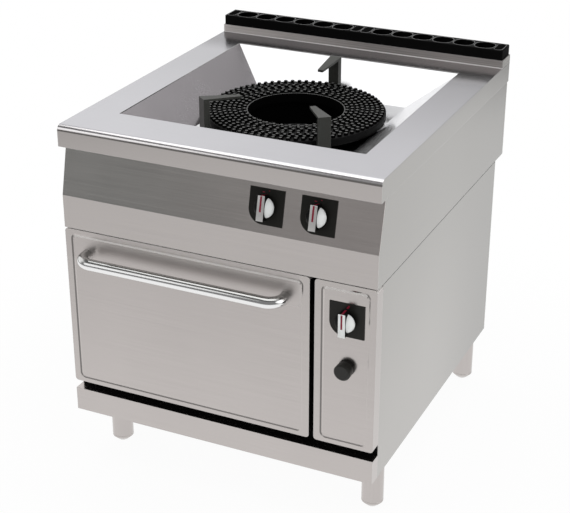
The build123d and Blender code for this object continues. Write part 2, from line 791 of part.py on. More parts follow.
# Door handle: a bent tube with both ends on the door face
handle_left_x = door_left + handle_inset
handle_right_x = door_right - handle_inset
with BuildPart() as door_handle:
    with BuildLine() as handle_path:
        FilletPolyline(
            (handle_left_x, front, handle_z),
            (handle_left_x, front - handle_stand_off, handle_z),
            (handle_right_x, front - handle_stand_off, handle_z),
            (handle_right_x, front, handle_z),
            radius=handle_bend,
        )
    with BuildSketch(Plane(origin=handle_path.line @ 0, z_dir=handle_path.line % 0)):
        Circle(handle_tube / 2)
    sweep()
keep(door_handle, "door_handle")

# Burner rails across the burner compartment
with BuildPart() as burner_rails:
    for rail_sign in (-1, 1):
        near = burner_y + rail_sign * rail_offset
        span_y = (near - rail_width / 2, near + rail_width / 2)
        block((-inner_x, inner_x), span_y, (rail_top - rail_sheet, rail_top))
        far_edge = near + rail_sign * rail_width / 2
        edge_y = sorted((far_edge, far_edge - rail_sign * rail_sheet))
        block((-inner_x, inner_x), edge_y, (rail_top - rail_flange, rail_top))
keep(burner_rails, "burner_rails")

# Burner body: ring casting with two gas channels, each fed by its own mixing tube
ring_plane = front_plane(0, 0, burner_y)
ring_axis = Axis((0, burner_y, 0), (0, 0, 1))
channel_width = (body_radius - body_bore - 3 * body_wall) / 2
channel_low = body_bottom + body_floor
channel_mid_z = (channel_low + crown_bottom) / 2
outer_channel = body_radius - body_wall - channel_width / 2
inner_channel = body_bore + body_wall + channel_width / 2


def mixer_end(tube_x):
    """Where a mixing tube stops inside the ring."""
    return burner_y - mixer_share * sqrt(body_radius**2 - (tube_x + mixer_radius) ** 2)


def cut_channel(middle):
    """Cuts one gas channel into the ring from above."""
    with BuildSketch(ring_plane) as channel_section:
        with Locations((middle, channel_mid_z)):
            Rectangle(channel_width, crown_bottom - channel_low)
    revolve(channel_section.sketch, axis=ring_axis, mode=Mode.SUBTRACT)


mouth_of_mixer = front + mixer_mouth
with BuildPart() as burner_body:
    with BuildSketch(ring_plane):
        with Locations(((body_radius + body_bore) / 2, (body_bottom + crown_bottom) / 2)):
            Rectangle(body_radius - body_bore, body_height)
    revolve(axis=ring_axis)
    for tube_x, channel in ((outer_mixer_x, outer_channel), (inner_mixer_x, inner_channel)):
        tube_plane = Plane(origin=(tube_x, mouth_of_mixer, mixer_z), x_dir=(1, 0, 0), z_dir=(0, 1, 0))
        with BuildSketch(tube_plane):
            Circle(mixer_radius)
        extrude(amount=mixer_end(tube_x) - mouth_of_mixer)
        cut_channel(channel)
        with BuildSketch(tube_plane):
            Circle(mixer_bore)
        extrude(amount=mixer_end(tube_x) - mouth_of_mixer, mode=Mode.SUBTRACT)
keep(burner_body, "burner_body")

# Burner crown: rounded iron ring covered with rows of studs, more in each row outwards, where the gas burns
first_row = crown_hole + crown_rim + stud_margin
last_row = crown_radius - crown_shoulder - stud_radius
row_pitch = (last_row - first_row) / (stud_rows - 1)
with BuildPart() as burner_crown:
    with BuildSketch(ring_plane) as crown_section:
        with BuildLine():
            Polyline(
                (crown_hole, crown_bottom),
                (crown_hole, crown_deck + crown_rim_rise),
                (crown_hole + crown_rim, crown_deck + crown_rim_rise),
                (crown_hole + crown_rim, crown_deck),
                (crown_radius, crown_deck),
                (crown_radius, crown_bottom),
                close=True,
            )
        make_face()
        fillet(crown_section.vertices().group_by(Axis.X)[-1].sort_by(Axis.Y)[-1], crown_shoulder)
        fillet(crown_section.vertices().group_by(Axis.Y)[0].sort_by(Axis.X)[-1], crown_under_round)
    revolve(axis=ring_axis)
    with BuildSketch(Plane((0, burner_y, crown_deck - stud_root))):
        for row in range(stud_rows):
            row_studs = first_row_studs + row * studs_added_per_row
            stagger = 180 / row_studs * (row % 2)
            with PolarLocations(first_row + row * row_pitch, row_studs, start_angle=stagger):
                RegularPolygon(stud_radius, 3)
    extrude(amount=stud_root + stud_height)
keep(burner_crown, "burner_crown")

# Pilot and flame probe stand on the front rail inside the ring
pilot_y = burner_y - crown_hole + pilot_inset
with BuildPart() as burner_pilot:
    with BuildSketch(Plane((-pilot_offset, pilot_y, rail_top))):
        RegularPolygon(pilot_radius, 6)
    extrude(amount=crown_deck - rail_top)
    with BuildSketch(Plane((-pilot_offset, pilot_y, crown_deck - 2 * pilot_radius))):
        Circle(pilot_radius + sheet)
    extrude(amount=pilot_radius)
keep(burner_pilot, "burner_pilot")

with BuildPart() as flame_probe:
    with BuildSketch(Plane((pilot_offset, pilot_y, rail_top))):
        Circle(probe_radius)
    extrude(amount=crown_deck - rail_top)
    with BuildSketch(Plane((pilot_offset, pilot_y, rail_top))):
        RegularPolygon(2 * probe_radius, 6)
    extrude(amount=4 * probe_radius)
keep(flame_probe, "flame_probe")


def hopper_surface(distance):
    """Height of the hopper's inside at a distance behind the burner's centre."""
    return hopper_floor + max(0.0, distance - floor_y) / hopper_slope


# Pan supports: bent bars whose feet stand in the hopper and whose arms reach in over the flames
for place, angle in support_angles.items():
    along = (cos(radians(angle)), sin(radians(angle)), 0)
    across = (sin(radians(angle)), -cos(radians(angle)), 0)
    outer = support_radius
    inner = support_radius - support_leg
    tip = support_radius - support_arm
    tip_top = support_top - support_drop
    root_under = support_top - support_bar - support_drop * support_leg / support_arm
    with BuildPart() as pan_support:
        with BuildSketch(Plane(origin=(0, burner_y, 0), x_dir=along, z_dir=across)):
            Polygon(
                (outer, hopper_surface(outer * sin(radians(angle)))),
                (outer, support_top),
                (tip, tip_top),
                (tip, tip_top - support_bar),
                (inner, root_under),
                (inner, hopper_surface(inner * sin(radians(angle)))),
                align=None,
            )
        extrude(amount=support_root_width / 2, both=True)
        with BuildSketch(Plane(origin=(0, burner_y, hopper_floor), x_dir=along, z_dir=(0, 0, 1))):
            Polygon(
                (outer, support_root_width / 2),
                (tip, support_tip_width / 2),
                (tip, -support_tip_width / 2),
                (outer, -support_root_width / 2),
                align=None,
            )
        extrude(amount=support_top - hopper_floor, mode=Mode.INTERSECT)
    keep(pan_support, f"pan_support_{place}")

# Gas controls: plate, knob on its spindle, turning plug and fixed body on each control plane
controls = (
    ("left_tap", left_tap_plane, sheet, feed_depth, left_tap_plane.x_dir),
    ("right_tap", right_tap_plane, sheet, feed_depth, right_tap_plane.x_dir),
    ("thermostat", thermostat_plane, door_skin_sheet, thermostat_feed, thermostat_plane.y_dir),
)
dome_points = []
for step in range(knob_dome_bands + 1):
    turn = radians(90 / knob_dome_bands * step)
    dome_points.append((knob_base_radius * cos(turn), knob_skirt + knob_dome_rise * sin(turn)))
for name, plane, wall, depth, pipe_dir in controls:
    with BuildPart() as plate:
        with BuildSketch(plane) as plate_outline:
            Rectangle(plate_width, plate_height)
            fillet(plate_outline.vertices().group_by(Axis.X)[0].sort_by(Axis.Y)[0], plate_corner)
            Circle(tap_panel_hole, mode=Mode.SUBTRACT)
        extrude(amount=plate_sheet)
    keep(plate, f"{name}_plate")

    with BuildPart() as knob:
        knob_base = plane.offset(knob_back)
        with BuildSketch(Plane(origin=knob_base.origin, x_dir=plane.x_dir, z_dir=-plane.y_dir)):
            Polygon((0, 0), (knob_base_radius, 0), *dome_points, align=None)
        revolve(axis=Axis(plane.origin, plane.z_dir))
        with BuildSketch(knob_base):
            RectangleRounded(knob_grip_width, knob_grip_length, knob_round)
        extrude(amount=knob_grip_height)
        with BuildSketch(plane.offset(-spindle_depth)):
            Circle(spindle_radius)
        extrude(amount=spindle_depth + knob_back)
    keep(knob, f"{name}_knob")

    with BuildPart() as plug:
        with BuildSketch(plane.offset(-plug_back)):
            Circle(plug_radius)
        extrude(amount=plug_back - plug_front)
        with BuildSketch(plane.offset(-plug_front)):
            Circle(spindle_radius + running_clearance)
        extrude(amount=plug_front - plug_bore_end, mode=Mode.SUBTRACT)
    keep(plug, f"{name}_plug")

    feed_plane = Plane(origin=plane.origin, x_dir=pipe_dir, z_dir=plane.z_dir)
    with BuildPart() as tap_body:
        with BuildSketch(feed_plane.offset(-wall)):
            Circle(tap_flange_radius)
        extrude(amount=-tap_flange)
        with BuildSketch(feed_plane.offset(-wall - tap_flange)):
            RegularPolygon(tap_body_radius, 8)
        extrude(amount=wall + tap_flange - tap_body_end)
        with BuildSketch(feed_plane.offset(saddle_width / 2 - depth)):
            with Locations((0, -feed_drop / 2)):
                Rectangle(saddle_width, feed_drop)
        extrude(amount=-saddle_width)
        with BuildSketch(feed_plane.offset(-tap_body_end)):
            RegularPolygon(tap_nipple_radius, 6)
        extrude(amount=-tap_nipple)
        pipe_place = feed_plane.from_local_coords(Vector(-saddle_width, -feed_drop, -depth))
        with BuildSketch(Plane(origin=pipe_place, z_dir=feed_plane.x_dir)):
            Circle(manifold_radius + saddle_gap)
        extrude(amount=2 * saddle_width, mode=Mode.SUBTRACT)
        with BuildSketch(feed_plane.offset(-wall)):
            Circle(plug_radius + running_clearance)
        extrude(amount=wall - plug_back - fit_gap, mode=Mode.SUBTRACT)
    keep(tap_body, f"{name}_body")

# Igniter: fixed barrel clamped in the service panel, and the push button that slides over its collar
collar_end = button_reach - button_cap - button_travel - button_clear
with BuildPart() as igniter_barrel:
    with BuildSketch(igniter_plane):
        Circle(button_radius - button_wall - running_clearance)
    extrude(amount=collar_end)
    with BuildSketch(igniter_plane.offset(-barrel_depth)):
        Circle(barrel_radius)
    extrude(amount=barrel_depth)
    with BuildSketch(igniter_plane.offset(-door_skin_sheet)):
        RegularPolygon(barrel_nut_radius, 6)
    extrude(amount=-barrel_nut)
keep(igniter_barrel, "igniter_barrel")

with BuildPart() as igniter_button:
    with BuildSketch(igniter_plane.offset(button_travel + button_clear)):
        Circle(button_radius)
    extrude(amount=button_reach - button_travel - button_clear)
    chamfer(igniter_button.edges().sort_by(Axis.Y)[0], button_edge)
    with BuildSketch(igniter_plane.offset(button_travel + button_clear)):
        Circle(button_radius - button_wall)
    extrude(amount=button_reach - button_cap - button_travel - button_clear, mode=Mode.SUBTRACT)
keep(igniter_button, "igniter_button")

# Gas manifold: along behind the taps, down past the thermostat and out to the rear
inlet_inner = cabinet_back - inlet_sleeve
with BuildPart() as gas_manifold:
    with BuildLine() as manifold_path:
        FilletPolyline(
            (left_tap_x - manifold_overrun, manifold_y, manifold_z),
            (drop_x, manifold_y, manifold_z),
            (drop_x, manifold_y, inlet_height),
            (drop_x, inlet_inner, inlet_height),
            radius=manifold_bend,
        )
    with BuildSketch(Plane(origin=manifold_path.line @ 0, z_dir=manifold_path.line % 0)):
        Circle(manifold_radius)
    sweep()
keep(gas_manifold, "gas_manifold")

# Gas inlet: threaded union through the lower back
inlet_plane = Plane(origin=(drop_x, cabinet_back, inlet_height), x_dir=(1, 0, 0), z_dir=(0, 1, 0))
with BuildPart() as gas_inlet:
    with BuildSketch(inlet_plane.offset(-inlet_sleeve)):
        Circle(inlet_thread_radius)
    extrude(amount=inlet_sleeve + inlet_flange + inlet_thread)
    with BuildSketch(inlet_plane):
        RegularPolygon(inlet_flange_radius, 6)
    extrude(amount=inlet_flange)
    with BuildSketch(inlet_plane.offset(inlet_flange + inlet_thread)):
        Circle(inlet_bore)
    extrude(amount=-(inlet_flange + inlet_thread + inlet_sleeve), mode=Mode.SUBTRACT)
keep(gas_inlet, "gas_inlet")

# Injectors: a brass jet on an air-shutter disc at the mouth of each burner tube
jets = (
    (front_plane(outer_mixer_x, mixer_z, mouth_of_mixer), mixer_radius),
    (front_plane(inner_mixer_x, mixer_z, mouth_of_mixer), mixer_radius),
    (Plane(origin=(tube_right, oven_tube_y, oven_tube_z), x_dir=(0, 1, 0), z_dir=(1, 0, 0)), oven_tube),
)
with BuildPart() as gas_injectors:
    for plane, radius in jets:
        with BuildSketch(plane):
            Circle(radius)
            with PolarLocations((radius + injector_nose_radius) / 2, 3):
                Circle((radius - injector_nose_radius) / 4, mode=Mode.SUBTRACT)
        extrude(amount=shutter_sheet)
        with BuildSketch(plane.offset(shutter_sheet)):
            RegularPolygon(min(injector_radius, radius - sheet), 6)
        extrude(amount=injector_length)
        with BuildSketch(plane):
            Circle(injector_nose_radius)
        extrude(amount=-injector_nose)
keep(gas_injectors, "gas_injectors")

# Gas pipes from each control to its injector
jet_back = shutter_sheet + injector_length
pipe_runs = []
for plane, jet in ((right_tap_plane, jets[0][0]), (left_tap_plane, jets[1][0])):
    start = plane.from_local_coords(Vector(0, 0, -tap_body_end - tap_nipple))
    lead_in = plane.from_local_coords(Vector(0, 0, -tap_body_end - tap_nipple - pipe_lead))
    lead_out = jet.from_local_coords(Vector(0, 0, jet_back + pipe_lead))
    end = jet.from_local_coords(Vector(0, 0, jet_back))
    pipe_runs.append((start, lead_in, lead_out, end))
oven_jet_x = tube_right + jet_back
oven_pipe_start = thermostat_plane.from_local_coords(Vector(0, 0, -tap_body_end - tap_nipple))
pipe_runs.append(
    (
        oven_pipe_start,
        Vector(thermostat_x, oven_tube_y, thermostat_z),
        Vector(thermostat_x, oven_tube_y, oven_tube_z),
        Vector(oven_jet_x, oven_tube_y, oven_tube_z),
    )
)
with BuildPart() as gas_pipes:
    for run in pipe_runs:
        with BuildLine() as pipe_path:
            FilletPolyline(*run, radius=pipe_bend)
        with BuildSketch(Plane(origin=pipe_path.line @ 0, z_dir=pipe_path.line % 0)):
            Circle(pipe_radius)
        sweep()
keep(gas_pipes, "gas_pipes")
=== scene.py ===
"""Dresses the gas paella range: finishes, a full burner crown, knobs, studio light and camera."""
import json
from math import cos, pi, radians, sin, tau

import bmesh
import bpy
from bpy.props import FloatProperty, FloatVectorProperty, IntProperty, PointerProperty
from mathutils import Matrix, Vector


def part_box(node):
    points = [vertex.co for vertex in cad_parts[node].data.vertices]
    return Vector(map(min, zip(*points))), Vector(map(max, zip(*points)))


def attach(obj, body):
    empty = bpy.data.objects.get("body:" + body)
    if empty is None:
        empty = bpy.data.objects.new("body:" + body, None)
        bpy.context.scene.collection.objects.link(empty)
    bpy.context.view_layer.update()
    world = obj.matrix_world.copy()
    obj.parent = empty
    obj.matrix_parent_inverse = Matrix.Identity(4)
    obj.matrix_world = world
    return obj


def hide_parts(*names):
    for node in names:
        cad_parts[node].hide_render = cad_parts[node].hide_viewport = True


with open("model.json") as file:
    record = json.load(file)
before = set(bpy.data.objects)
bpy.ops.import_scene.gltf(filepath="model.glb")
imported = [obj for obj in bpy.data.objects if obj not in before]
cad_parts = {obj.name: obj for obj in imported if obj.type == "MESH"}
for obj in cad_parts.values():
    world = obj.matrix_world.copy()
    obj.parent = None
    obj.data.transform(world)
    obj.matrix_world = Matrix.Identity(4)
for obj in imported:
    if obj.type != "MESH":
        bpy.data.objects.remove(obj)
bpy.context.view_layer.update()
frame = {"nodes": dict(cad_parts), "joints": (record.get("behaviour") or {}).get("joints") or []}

bl_info = {
    "name": "Gas paella range",
    "version": (1, 0, 0),
    "blender": (4, 5, 0),
    "location": "View3D > Sidebar > Range",
    "description": "Finishes and fine shapes of a gas paella range",
    "category": "Object",
}

NODES = frame["nodes"]
JOINTS = {joint["name"]: joint for joint in frame["joints"]}
MM = 0.001
WHITE = (1.0, 1.0, 1.0, 1.0)
BLACK = (0.0, 0.0, 0.0, 1.0)
# Pale steel for the painted highlight along sheet edges.
EDGE_HIGHLIGHT_STEEL = (0.92, 0.92, 0.92, 1.0)
GRAIN_ALONG = 3.0
GRAIN_ACROSS = 420.0
STREAK_CONTRAST = 1.6
CLOUD_CONTRAST = 0.9
STREAK_ROUGHNESS = 0.16
CLOUD_ROUGHNESS = 0.10
# Turn of the rounded normal from the face over which the painted edge highlight fades out.
EDGE_HIGHLIGHT_BEND = (0.88, 0.99)


class Value:
    """A shader socket: sums and products of sockets add Math nodes to their graph."""

    def __init__(self, graph, socket):
        self.graph = graph
        self.socket = socket

    def __add__(self, other):
        return self.graph.maths("ADD", self, other)

    __radd__ = __add__

    def __sub__(self, other):
        return self.graph.maths("SUBTRACT", self, other)

    def __rsub__(self, other):
        return self.graph.maths("SUBTRACT", other, self)

    def __mul__(self, other):
        return self.graph.maths("MULTIPLY", self, other)

    __rmul__ = __mul__


class Graph:
    """The node tree of one finish."""

    def __init__(self, tree):
        self.tree = tree
        tree.nodes.clear()

    def add(self, kind, settings=None, inputs=None, output=0):
        """Makes a node: its settings first, then the values or links of its sockets."""
        node = self.tree.nodes.new(kind)
        for key, setting in (settings or {}).items():
            setattr(node, key, setting)
        for key, value in (inputs or {}).items():
            if isinstance(value, Value):
                self.tree.links.new(value.socket, node.inputs[key])
            else:
                node.inputs[key].default_value = value
        return Value(self, node.outputs[output]) if node.outputs else None

    def maths(self, operation, first, second):
        """Works out one sum, difference or product."""
        return self.add("ShaderNodeMath", {"operation": operation}, {0: first, 1: second})

    def clamp(self, value):
        """Keeps a value between 0 and 1."""
        return self.add("ShaderNodeClamp", None, {"Value": value})

    def span(self, value, low, high):
        """0 at low, 1 at high, smooth between them."""
        settings = {"interpolation_type": "SMOOTHSTEP"}
        return self.add("ShaderNodeMapRange", settings, {"Value": value, "From Min": low, "From Max": high})

    def blend(self, factor, first, second):
        """Mixes two colours."""
        settings = {"data_type": "RGBA"}
        return self.add("ShaderNodeMix", settings, {0: factor, 6: first, 7: second}, 2)

    def place(self, stretch=(1.0, 1.0, 1.0)):
        """Places in the piece's own frame, in metres, stretched for grain."""
        spot = self.add("ShaderNodeTexCoord", None, None, "Object")
        return self.add("ShaderNodeMapping", None, {"Vector": spot, "Scale": stretch})

    def normal(self):
        """The way a face points."""
        return self.add("ShaderNodeNewGeometry", None, None, "Normal")

    def part(self, vector, axis):
        """One axis of a vector."""
        return self.add("ShaderNodeSeparateXYZ", None, {"Vector": vector}, axis)

    def noise(self, spot, scale, detail=3.0, rough=0.55):
        """Cloudy variation from 0 to 1."""
        inputs = {"Vector": spot, "Scale": scale, "Detail": detail, "Roughness": rough}
        return self.add("ShaderNodeTexNoise", None, inputs, "Fac")

    def bump(self, height, strength, distance, **base):
        """A normal bent by fine relief."""
        inputs = {"Height": height, "Strength": strength, "Distance": distance, **base}
        return self.add("ShaderNodeBump", None, inputs)

    def ray(self, kind):
        """1 for one kind of light ray."""
        return self.add("ShaderNodeLightPath", None, None, kind)


def rgba(colour, level=1.0):
    """A colour with alpha, made lighter or darker."""
    return tuple(min(1.0, part * level) for part in colour[:3]) + (1.0,)


def toned(colour, level):
    """A colour property made lighter or darker."""
    return tuple(level * part for part in colour)


def finish(name, build, **constants):
    """A material: build returns the sockets that vary, and the rest are set on the shader itself."""
    material = bpy.data.materials.new(name)
    material.use_nodes = True
    graph = Graph(material.node_tree)
    inputs = {**constants, **build(graph)}
    shader = graph.add("ShaderNodeBsdfPrincipled", None, inputs, "BSDF")
    graph.add("ShaderNodeOutputMaterial", None, {"Surface": shader})
    return material


def tilted(axis, low, high):
    """A mask that grows as faces turn towards an axis, or away from it where low is above high."""
    return lambda graph: graph.span(graph.part(graph.normal(), axis), low, high)


def beyond(axis, low, high):
    """A mask that grows along an axis between two places, or against it where low is above high."""
    return lambda graph: graph.span(graph.part(graph.place(), axis), low, high)


facing_up = tilted("Z", 0.55, 0.85)
facing_right = tilted("X", 0.2, 0.5)


def sheet_steel(
    name, colour, grain="X", roughness=0.20, streak=0.05, edge=1.0 * MM, metallic=1.0,
    zones=(), edge_highlight=0.45, sheen=None,
):
    """Satin stainless sheet: brushed streaks along the grain, cloudy wiping marks, and a painted highlight
    along the edges.

    zones are (mask, colour) pairs for parts with another tone, several of them painted light and shade, and
    sheen is one (mask, roughness) pair.
    """
    stretch = tuple(GRAIN_ALONG if axis == grain else GRAIN_ACROSS for axis in "XYZ")

    def build(graph):
        streaks = graph.noise(graph.place(stretch), 1.0, 4.0, 0.6)
        clouds = graph.noise(graph.place(), 5.0, 2.0)
        worn = graph.clamp(0.5 + (streaks - 0.5) * STREAK_CONTRAST + (clouds - 0.5) * CLOUD_CONTRAST)
        base = graph.blend(worn, rgba(colour, 1.0 - streak), rgba(colour, 1.0 + streak))
        for mask, tone in zones:
            other = graph.blend(worn, rgba(tone, 1.0 - streak), rgba(tone, 1.0 + streak))
            base = graph.blend(mask(graph), base, other)
        rounded = graph.add("ShaderNodeBevel", {"samples": 6}, {"Radius": edge})
        sides = {0: rounded, 1: graph.normal()}
        bend = graph.add("ShaderNodeVectorMath", {"operation": "DOT_PRODUCT"}, sides, "Value")
        # Painted highlight: the steel turns paler along edges, where the rounded normal leaves the face's
        # own.
        base = graph.blend((1.0 - graph.span(bend, *EDGE_HIGHLIGHT_BEND)) * edge_highlight, base, EDGE_HIGHLIGHT_STEEL)
        rough = roughness + (streaks - 0.5) * STREAK_ROUGHNESS + (clouds - 0.5) * CLOUD_ROUGHNESS
        if sheen:
            rough = rough + (sheen[1] - rough) * sheen[0](graph)
        return {
            "Base Color": base,
            "Roughness": rough,
            "Normal": graph.bump(streaks, 0.05, 0.1 * MM, Normal=rounded),
        }

    return finish(name, build, Metallic=metallic)


def cast_iron(name, colour, roughness=0.5, grain=900.0, relief=0.35 * MM, dust=0.5, specular=0.25):
    """Sand-cast iron: a fine pitted skin with duller patches."""

    def build(graph):
        spot = graph.place()
        pits = graph.noise(spot, grain, 3.0, 0.6)
        patches = graph.noise(spot, 26.0, 4.0)
        shade = graph.clamp(pits * 0.6 + patches * 0.4)
        return {
            "Base Color": graph.blend(shade, rgba(colour, 1.0 - dust), rgba(colour, 1.0 + dust)),
            "Roughness": roughness + (patches - 0.5) * 0.25,
            "Normal": graph.bump(pits, 0.5, relief),
        }

    return finish(name, build, **{"Specular IOR Level": specular})


def enamel(name, colour, fleck, roughness=0.22):
    """Vitreous enamel: glassy, slightly rippled, with small pale flecks."""

    def build(graph):
        spot = graph.place()
        flecks = graph.span(graph.noise(spot, 620.0, 1.0), 0.68, 0.74)
        ripple = graph.noise(spot, 90.0, 2.0)
        return {
            "Base Color": graph.blend(flecks, rgba(colour), rgba(fleck)),
            "Roughness": roughness + (ripple - 0.5) * 0.12,
            "Normal": graph.bump(ripple, 0.12, 0.2 * MM),
        }

    return finish(name, build, **{"Coat Weight": 0.4})


def polished(name, colour, roughness):
    """Bright drawn metal with faint handling marks."""

    def build(graph):
        marks = graph.noise(graph.place(), 45.0, 5.0, 0.65)
        return {
            "Base Color": graph.blend(marks, rgba(colour, 0.94), rgba(colour, 1.03)),
            "Roughness": roughness + marks * 0.06,
        }

    return finish(name, build, Metallic=1.0)


def chrome(name, colour, shade, roughness, edge):
    """Plated round bar: mirror bright, with painted shade on its back where it faces up."""

    def build(graph):
        marks = graph.noise(graph.place(), 45.0, 5.0, 0.65)
        # Painted shade: the bar is darker where it faces up.
        back = tilted("Z", 0.3, 0.75)(graph)
        return {
            "Base Color": graph.blend(back, rgba(colour), rgba(shade)),
            "Roughness": roughness + marks * 0.06,
            "Normal": graph.add("ShaderNodeBevel", {"samples": 8}, {"Radius": edge}),
        }

    return finish(name, build, Metallic=1.0)


def tarnished(name, colour, dark, roughness=0.3):
    """Brass or copper fittings with brown tarnish in patches."""

    def build(graph):
        spot = graph.place()
        patches = graph.span(graph.noise(spot, 55.0, 4.0), 0.42, 0.66)
        fine = graph.noise(spot, 700.0, 2.0)
        return {
            "Base Color": graph.blend(patches * 0.6 + fine * 0.2, rgba(colour), rgba(dark)),
            "Roughness": roughness + patches * 0.2 + (fine - 0.5) * 0.1,
        }

    return finish(name, build, Metallic=1.0)


def moulding(name, colour, roughness=0.3, grain=1500.0, specular=0.3):
    """Moulded plastic: even colour with a fine spark-eroded grain."""

    def build(graph):
        spot = graph.place()
        fine = graph.noise(spot, grain, 2.0)
        slow = graph.noise(spot, 30.0, 2.0)
        return {
            "Base Color": graph.blend(slow, rgba(colour, 0.93), rgba(colour, 1.07)),
            "Roughness": roughness + (slow - 0.5) * 0.1,
            "Normal": graph.bump(fine, 0.15, 0.08 * MM),
        }

    return finish(name, build, **{"Specular IOR Level": specular})


def fibre(name, colour, scale=240.0):
    """Mineral wool or woven seal: matted strands."""

    def build(graph):
        strands = graph.noise(graph.place((1.0, 1.0, 3.0)), scale, 5.0, 0.7)
        return {
            "Base Color": graph.blend(strands, rgba(colour, 0.6), rgba(colour, 1.25)),
            "Roughness": 0.85 + (strands - 0.5) * 0.2,
            "Normal": graph.bump(strands, 0.8, 1.5 * MM),
        }

    return finish(name, build)


def coat(material, *names):
    """Gives CAD nodes a finish."""
    for name in names:
        slots = NODES[name].data.materials
        slots.clear()
        slots.append(material)


def piece(name, bm, body, materials, smooth_angle=35.0):
    """Turns a bmesh into a piece that rides on a CAD body, smooth across edges below the angle."""
    bmesh.ops.recalc_face_normals(bm, faces=bm.faces)
    for face in bm.faces:
        face.smooth = True
    for edge in bm.edges:
        edge.smooth = edge.calc_face_angle(pi) < radians(smooth_angle)
    mesh = bpy.data.meshes.new(name)
    bm.to_mesh(mesh)
    bm.free()
    obj = bpy.data.objects.new(name, mesh)
    for material in materials:
        mesh.materials.append(material)
    bpy.context.scene.collection.objects.link(obj)
    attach(obj, body)
    return obj


def lathe(bm, profile, segments, centre):
    """Spins a closed line of (radius, height) points round an upright axis through centre."""
    spots = [bm.verts.new((centre[0] + radius, centre[1], height)) for radius, height in profile]
    edges = [bm.edges.new(pair) for pair in zip(spots, spots[1:] + spots[:1])]
    bmesh.ops.spin(
        bm, geom=spots + edges, cent=(centre[0], centre[1], 0.0), axis=(0.0, 0.0, 1.0),
        steps=segments, angle=tau, use_merge=True,
    )


def wrap(bm, first, second, material=0):
    """Joins two closed loops of as many corners with a band of faces."""
    for spot in range(len(first)):
        ahead = (spot + 1) % len(first)
        face = bm.faces.new((first[spot], first[ahead], second[ahead], second[spot]))
        face.material_index = material


def raise_face(bm, face, height):
    """Makes a closed thin layer from a level face."""
    made = bmesh.ops.extrude_face_region(bm, geom=[face], use_keep_orig=True)["geom"]
    for vert in made:
        if isinstance(vert, bmesh.types.BMVert):
            vert.co.z += height


def arc(centre, radius, start, end, steps):
    """Points of a round corner between two angles in degrees."""
    angles = [radians(start + (end - start) * step / steps) for step in range(steps + 1)]
    return [(centre[0] + radius * cos(angle), centre[1] + radius * sin(angle)) for angle in angles]


class RANGE_PG_steel(bpy.types.PropertyGroup):
    """Colours of the stainless sheet."""

    top: FloatVectorProperty(
        name="Worktop", description="Satin steel of the worktop",
        subtype="COLOR", size=3, default=(0.525, 0.52, 0.545),
    )
    hopper: FloatVectorProperty(
        name="Hopper", description="Bright steel of the hopper",
        subtype="COLOR", size=3, default=(0.74, 0.74, 0.75),
    )
    # Painted shade: the darker tone of the hopper's left wall.
    hopper_left_shade: FloatVectorProperty(
        name="Hopper's left", description="Left wall of the hopper",
        subtype="COLOR", size=3, default=(0.415, 0.392, 0.408),
    )
    body: FloatVectorProperty(
        name="Body", description="Satin steel of the front",
        subtype="COLOR", size=3, default=(0.45, 0.422, 0.408),
    )
    # Also painted light: on the door behind the handle and on the lit flank of the left groove.
    low: FloatVectorProperty(
        name="Low body", description="Paler steel near the floor",
        subtype="COLOR", size=3, default=(0.53, 0.495, 0.48),
    )
    side: FloatVectorProperty(
        name="Sides", description="Satin steel of the sides",
        subtype="COLOR", size=3, default=(0.375, 0.368, 0.352),
    )
    side_low: FloatVectorProperty(
        name="Low sides", description="Sides near the floor",
        subtype="COLOR", size=3, default=(0.45, 0.437, 0.42),
    )
    # Painted light: the leaning part gets its own lighter tone, set for how the slope reflects.
    panel: FloatVectorProperty(
        name="Control panel", description="Leaning control panel",
        subtype="COLOR", size=3, default=(0.67, 0.655, 0.63),
    )
    # Painted highlight: paler steel at the right end of the leaning part.
    panel_right_light: FloatVectorProperty(
        name="Panel's right", description="Right end of the panel",
        subtype="COLOR", size=3, default=(0.90, 0.83, 0.80),
    )
    # Painted shade: the worktop's reflection of the dark upstand and flue.
    shade: FloatVectorProperty(
        name="Shaded steel", description="Steel near the flue",
        subtype="COLOR", size=3, default=(0.246, 0.242, 0.254),
    )
    # Painted highlight on the worktop's nose and on the right of its back strip.
    bright: FloatVectorProperty(
        name="Bright steel", description="Worktop's nose and the right of its back strip",
        subtype="COLOR", size=3, default=(0.80, 0.775, 0.785),
    )
    upstand: FloatVectorProperty(
        name="Upstand", description="Dull steel under the flue",
        subtype="COLOR", size=3, default=(0.255, 0.238, 0.230),
    )
    fold: FloatVectorProperty(
        name="Fold", description="Rounded fold below the upstand",
        subtype="COLOR", size=3, default=(0.60, 0.585, 0.58),
    )
    # Painted highlight on the lower flank of the top groove.
    groove: FloatVectorProperty(
        name="Groove", description="Lit flank of the pressed groove",
        subtype="COLOR", size=3, default=(0.95, 0.92, 0.90),
    )
    hidden: FloatVectorProperty(
        name="Inner steel", description="Plain steel inside",
        subtype="COLOR", size=3, default=(0.42, 0.42, 0.42),
    )


